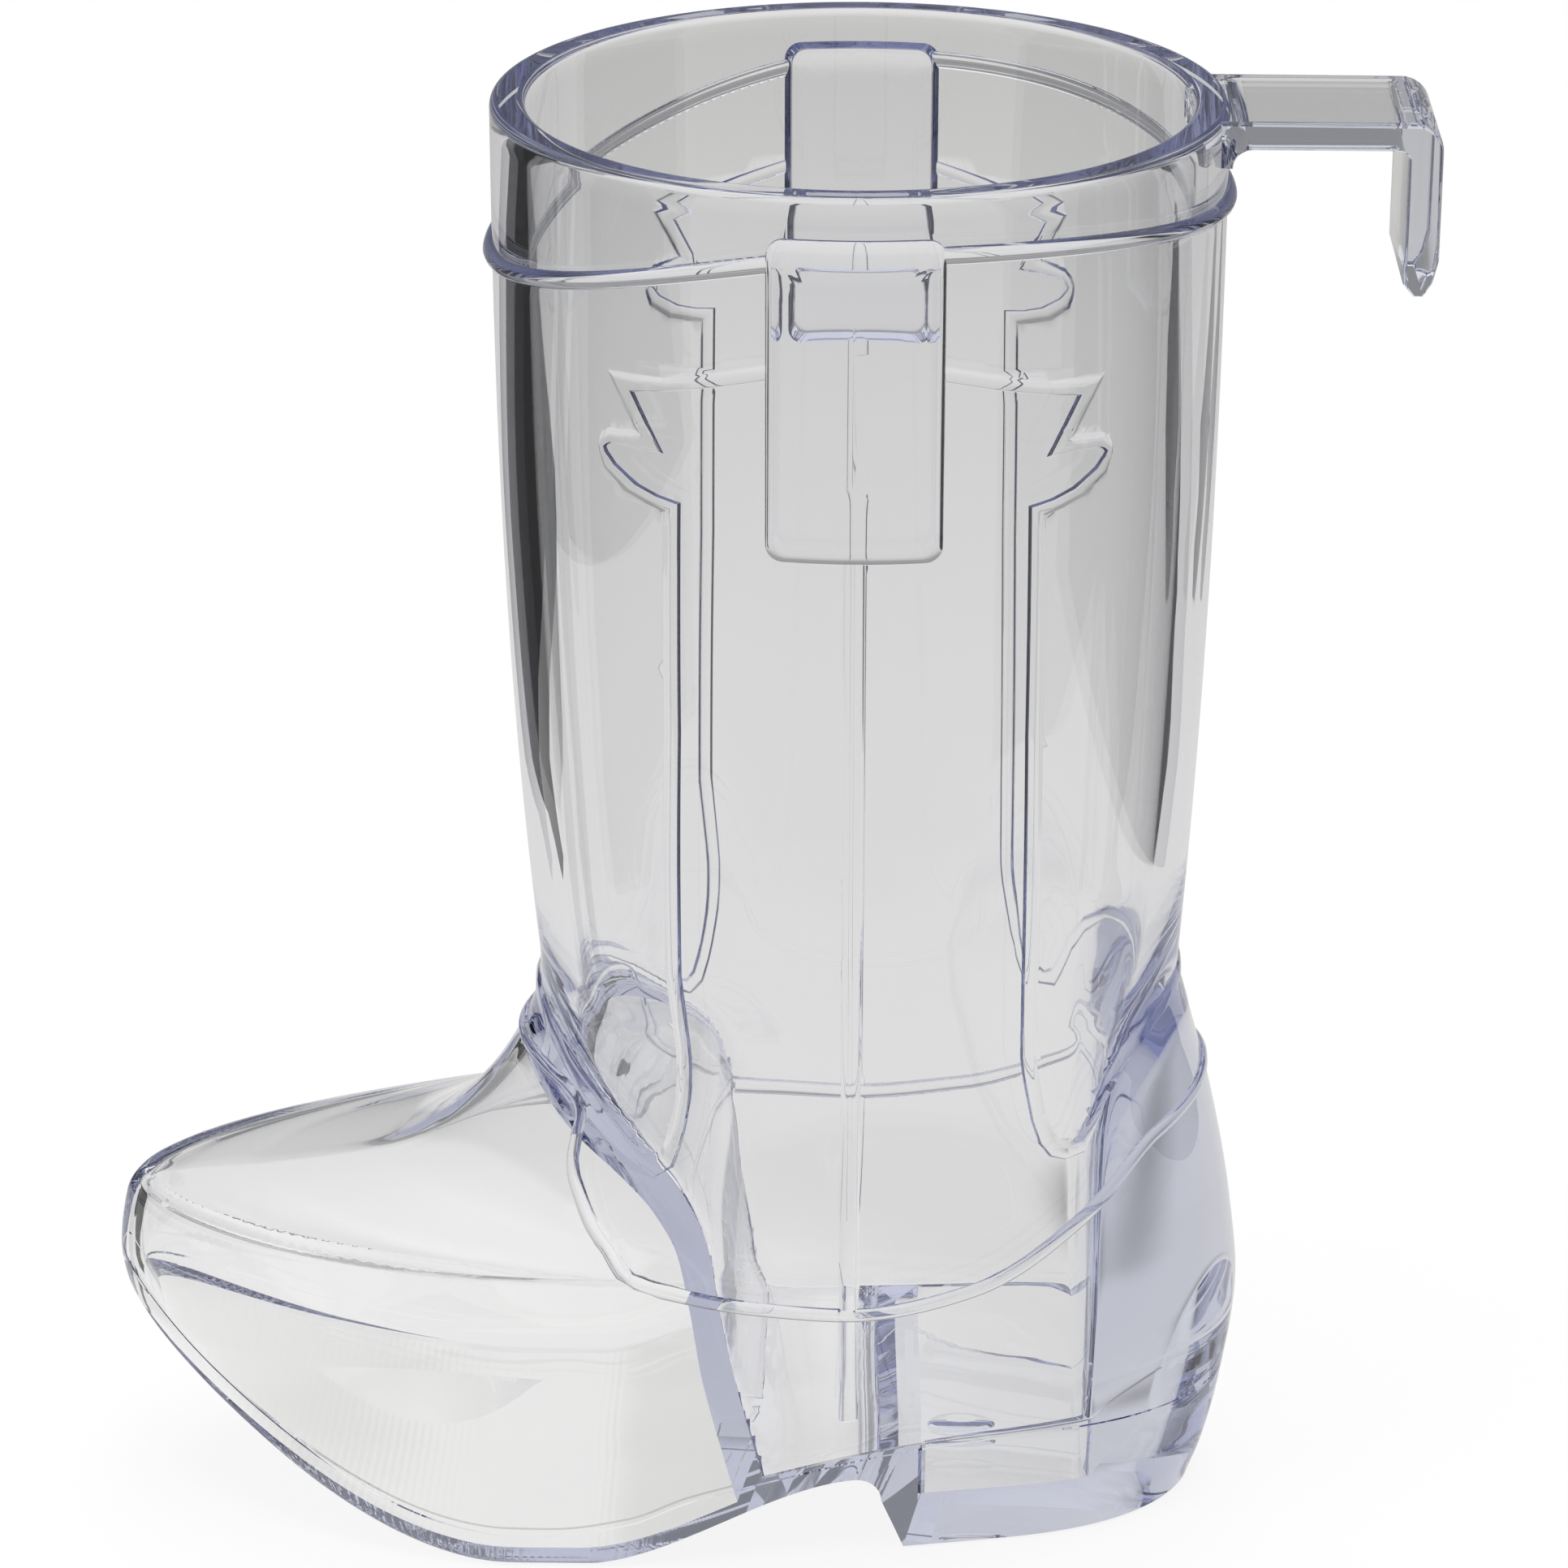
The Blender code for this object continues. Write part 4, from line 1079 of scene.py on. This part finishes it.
def make_world():
    """White behind the picture; clear plastic also sees a grey backdrop low down and a bright ceiling."""
    world = bpy.data.worlds.new("studio")
    bpy.context.scene.world = world
    world.use_nodes = True
    nodes = world.node_tree.nodes
    links = world.node_tree.links
    fill = nodes["Background"]
    fill.inputs["Color"].default_value = (0.9, 0.9, 0.9, 1.0)
    fill.inputs["Strength"].default_value = 0.5
    place = nodes.new("ShaderNodeTexCoord")
    split = nodes.new("ShaderNodeSeparateXYZ")
    links.new(place.outputs["Generated"], split.inputs["Vector"])
    ramp = nodes.new("ShaderNodeValToRGB")
    links.new(split.outputs["Z"], ramp.inputs["Fac"])
    shades = ((0.0, 0.30), (0.38, 0.27), (0.46, 0.82), (0.62, 0.86), (0.80, 1.0))
    fill_ramp(ramp, shades, (1.0, 1.0, 1.0))
    room = nodes.new("ShaderNodeBackground")
    links.new(ramp.outputs["Color"], room.inputs["Color"])
    white = nodes.new("ShaderNodeBackground")
    white.inputs["Color"].default_value = (1.0, 1.0, 1.0, 1.0)
    path, seen = seen_directly(nodes, links)
    kind = nodes.new("ShaderNodeMixShader")
    links.new(path.outputs["Is Camera Ray"], kind.inputs["Fac"])
    links.new(room.outputs["Background"], kind.inputs[1])
    links.new(white.outputs["Background"], kind.inputs[2])
    mix = nodes.new("ShaderNodeMixShader")
    links.new(seen, mix.inputs["Fac"])
    links.new(fill.outputs["Background"], mix.inputs[1])
    links.new(kind.outputs["Shader"], mix.inputs[2])
    links.new(mix.outputs["Shader"], nodes["World Output"].inputs["Surface"])


def plane(name, corners):
    """A flat sheet of the studio, from its corners in millimetres."""
    mesh = bpy.data.meshes.new(name)
    mesh.from_pydata([tuple(c * MM for c in p) for p in corners], [], [tuple(range(len(corners)))])
    obj = bpy.data.objects.new(name, mesh)
    bpy.context.scene.collection.objects.link(obj)
    return obj


def vector_math(nodes, links, operation, source, second=None):
    """A vector node fed by one output, with a second value in millimetres where it takes one."""
    node = nodes.new("ShaderNodeVectorMath")
    node.operation = operation
    links.new(source, node.inputs[0])
    if second is not None:
        node.inputs[1].default_value = [c * MM for c in second]
    return node


def make_floor():
    """White paper that keeps the boot's shadow; clear plastic sees greys with painted light near the toe and
    a painted heel shadow.
    """
    corners = ((-1, -1), (1, -1), (1, 1), (-1, 1))
    floor = plane("floor", [(x * FLOOR_HALF, y * FLOOR_HALF, FLOOR_Z) for x, y in corners])
    mat = bpy.data.materials.new("pale_paper")
    mat.use_nodes = True
    mat.cycles.emission_sampling = "NONE"
    nodes = mat.node_tree.nodes
    links = mat.node_tree.links
    paper = nodes["Principled BSDF"]
    paper.inputs["Base Color"].default_value = (0.8, 0.8, 0.8, 1.0)
    paper.inputs["Roughness"].default_value = 0.9
    paper.inputs["Specular IOR Level"].default_value = 0.0
    white = nodes.new("ShaderNodeEmission")
    white.inputs["Color"].default_value = (1.0, 1.0, 1.0, 1.0)
    white.inputs["Strength"].default_value = 1.0
    grey = nodes.new("ShaderNodeEmission")
    place = nodes.new("ShaderNodeTexCoord")
    # Painted pool of light: the see-through grey is brightest near the toe and falls off with distance
    far = vector_math(nodes, links, "DISTANCE", place.outputs["Object"], BRIGHT_PLACE)
    ramp = nodes.new("ShaderNodeValToRGB")
    links.new(far.outputs["Value"], ramp.inputs["Fac"])
    shades = ((0.0, 0.92), (0.02, 0.91), (0.032, 0.84), (0.045, 0.73), (0.09, 0.70), (0.12, 0.69),
              (0.18, 0.64), (0.23, 0.60), (0.28, 0.53), (0.36, 0.46), (0.6, 0.30))
    fill_ramp(ramp, shades, PAPER_TINT)
    links.new(ramp.outputs["Color"], grey.inputs["Color"])
    # Painted shadow of the heel: a soft patch behind it dims the see-through grey
    offset = vector_math(nodes, links, "SUBTRACT", place.outputs["Object"], HEEL_SHADE_PLACE)
    spread = vector_math(nodes, links, "DIVIDE", offset.outputs["Vector"], HEEL_SHADE_SIZE)
    away = vector_math(nodes, links, "LENGTH", spread.outputs["Vector"])
    dimmer = nodes.new("ShaderNodeMapRange")
    dimmer.interpolation_type = "SMOOTHSTEP"
    dimmer.inputs["To Min"].default_value = HEEL_SHADE
    dimmer.inputs["To Max"].default_value = 1.0
    links.new(away.outputs["Value"], dimmer.inputs["Value"])
    links.new(dimmer.outputs["Result"], grey.inputs["Strength"])
    path, seen = seen_directly(nodes, links)
    kind = nodes.new("ShaderNodeMixShader")
    links.new(path.outputs["Is Camera Ray"], kind.inputs["Fac"])
    links.new(grey.outputs["Emission"], kind.inputs[1])
    links.new(white.outputs["Emission"], kind.inputs[2])
    mix = nodes.new("ShaderNodeMixShader")
    share = nodes.new("ShaderNodeMath")
    share.operation = "MULTIPLY"
    share.inputs[1].default_value = SEEN_SHARE
    links.new(seen, share.inputs[0])
    links.new(share.outputs["Value"], mix.inputs["Fac"])
    links.new(paper.outputs["BSDF"], mix.inputs[1])
    links.new(kind.outputs["Shader"], mix.inputs[2])
    links.new(mix.outputs["Shader"], nodes["Material Output"].inputs["Surface"])
    floor.data.materials.append(mat)
    return floor


def card(name, corners, shade):
    """A card on the paper that isn't seen itself; clear edges and thick places get dark tones from it."""
    sheet = plane(name, [(x, y, CARD_Z) for x, y in corners])
    sheet.visible_camera = False
    sheet.visible_diffuse = False
    sheet.visible_shadow = False
    mat = bpy.data.materials.new(name)
    mat.use_nodes = True
    mat.cycles.emission_sampling = "NONE"
    nodes = mat.node_tree.nodes
    tone = nodes.new("ShaderNodeEmission")
    tone.inputs["Color"].default_value = (shade, shade, shade, 1.0)
    mat.node_tree.links.new(tone.outputs["Emission"], nodes["Material Output"].inputs["Surface"])
    sheet.data.materials.append(mat)
    return sheet


def make_cards():
    """The dark cards: two behind the boot, one at each side, and a narrow one past the toe."""
    left = [(-66, 47), (-68, 57), (-68, 66), (-64, 75), (-58, 90), (-58, 100), (-62, 118), (-66, 135),
            (-68, 150), (-72, 163), (-83, 178), (-98, 193), (-130, 222), (-200, 240), (-500, 240),
            (-500, 60), (-130, 66), (-100, 70), (-90, 68), (-82, 66), (-78, 60), (-74, 53), (-71, 47)]
    left_side = [(-150, 55), (-500, 55), (-500, -200), (-150, -120)]
    right = [(88, 124), (88, 150), (90, 175), (97, 202), (108, 222), (117, 244), (122, 240), (124, 222),
             (121, 200), (121, 160), (107, 145), (104, 130), (95, 121)]
    right_side = [(84, 50), (91, 64), (94, 71), (100, 78), (106, 82), (112, 86), (118, 91), (123, 97),
                  (131, 101), (143, 111), (170, 125), (400, 200), (400, -150), (150, -60), (100, 20)]
    toe = [(-51, 8.5), (-58, 9.5), (-64, 13.5), (-74, 18.5), (-90, 24), (-300, 110), (-300, 170), (-95, 36),
           (-80, 30), (-70, 23), (-60, 16), (-52, 11)]
    card("left_card", left, 0.03)
    card("left_flag", left_side, 0.02)
    card("right_card", right, 0.02)
    card("right_flag", right_side, 0.02)
    card("toe_card", toe, 0.09)


def area(name, place, aim, size, power):
    """A soft box that lights things without being seen in the plastic."""
    light = bpy.data.lights.new(name, "AREA")
    light.shape = "RECTANGLE"
    light.size = size[0]
    light.size_y = size[1]
    light.energy = power
    obj = bpy.data.objects.new(name, light)
    obj.location = place
    obj.rotation_euler = (Vector(aim) - Vector(place)).to_track_quat("-Z", "Y").to_euler()
    obj.visible_glossy = False
    obj.visible_transmission = False
    bpy.context.scene.collection.objects.link(obj)
    return obj


def make_lights():
    """Two soft boxes: one above, and one in front at the left."""
    area("softbox_top", place=(0.05, 0.05, 0.75), aim=(0.0, 0.0, 0.03), size=(0.7, 0.7), power=6.0)
    area("softbox_left", place=(-0.55, -0.35, 0.45), aim=(0.0, 0.0, 0.04), size=(0.35, 0.5), power=2.0)


def make_camera():
    """The camera at the photo's angle and distance."""
    data = bpy.data.cameras.new("camera")
    data.sensor_fit = "HORIZONTAL"
    data.sensor_width = SENSOR_MM
    data.lens = SENSOR_MM * FOCAL_PX / PHOTO_PX
    data.clip_start = 0.01
    data.clip_end = 20.0
    cam = bpy.data.objects.new("camera", data)
    turn = Matrix.Rotation(math.radians(CAMERA_TURN), 3, "Z")
    turn = turn @ Matrix.Rotation(math.radians(90 - CAMERA_DOWN), 3, "X")
    turn = turn @ Matrix.Rotation(math.radians(CAMERA_ROLL), 3, "Z")
    cam.matrix_world = Matrix.Translation(CAMERA_PLACE) @ turn.to_4x4()
    bpy.context.scene.collection.objects.link(cam)
    bpy.context.scene.camera = cam


def main():
    """Builds the studio and both pieces, hides the imported parts they replace, and says what each piece
    rides on.
    """
    bpy.context.scene.view_settings.view_transform = "Standard"
    bpy.context.scene.cycles.max_bounces = BOUNCES
    bpy.context.scene.cycles.transmission_bounces = BOUNCES
    bpy.context.scene.cycles.glossy_bounces = BOUNCES
    make_camera()
    make_world()
    make_floor()
    make_cards()
    make_lights()
    upper = make_upper()
    sole = make_sole()
    upper.data.materials.clear()
    sole.data.materials.clear()
    upper.data.materials.append(clear_plastic("clear_plastic_upper"))
    sole.data.materials.append(clear_plastic("clear_plastic_sole"))
    mark_bond(upper, JOIN_GAP, -1.0)
    mark_bond(sole, BOND_PAD, 1.0)
    for piece, node, slot in ((upper, "boot_upper", "clear_upper"), (sole, "sole_and_heel", "clear_sole")):
        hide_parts(node)
        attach(piece, "root")


main()
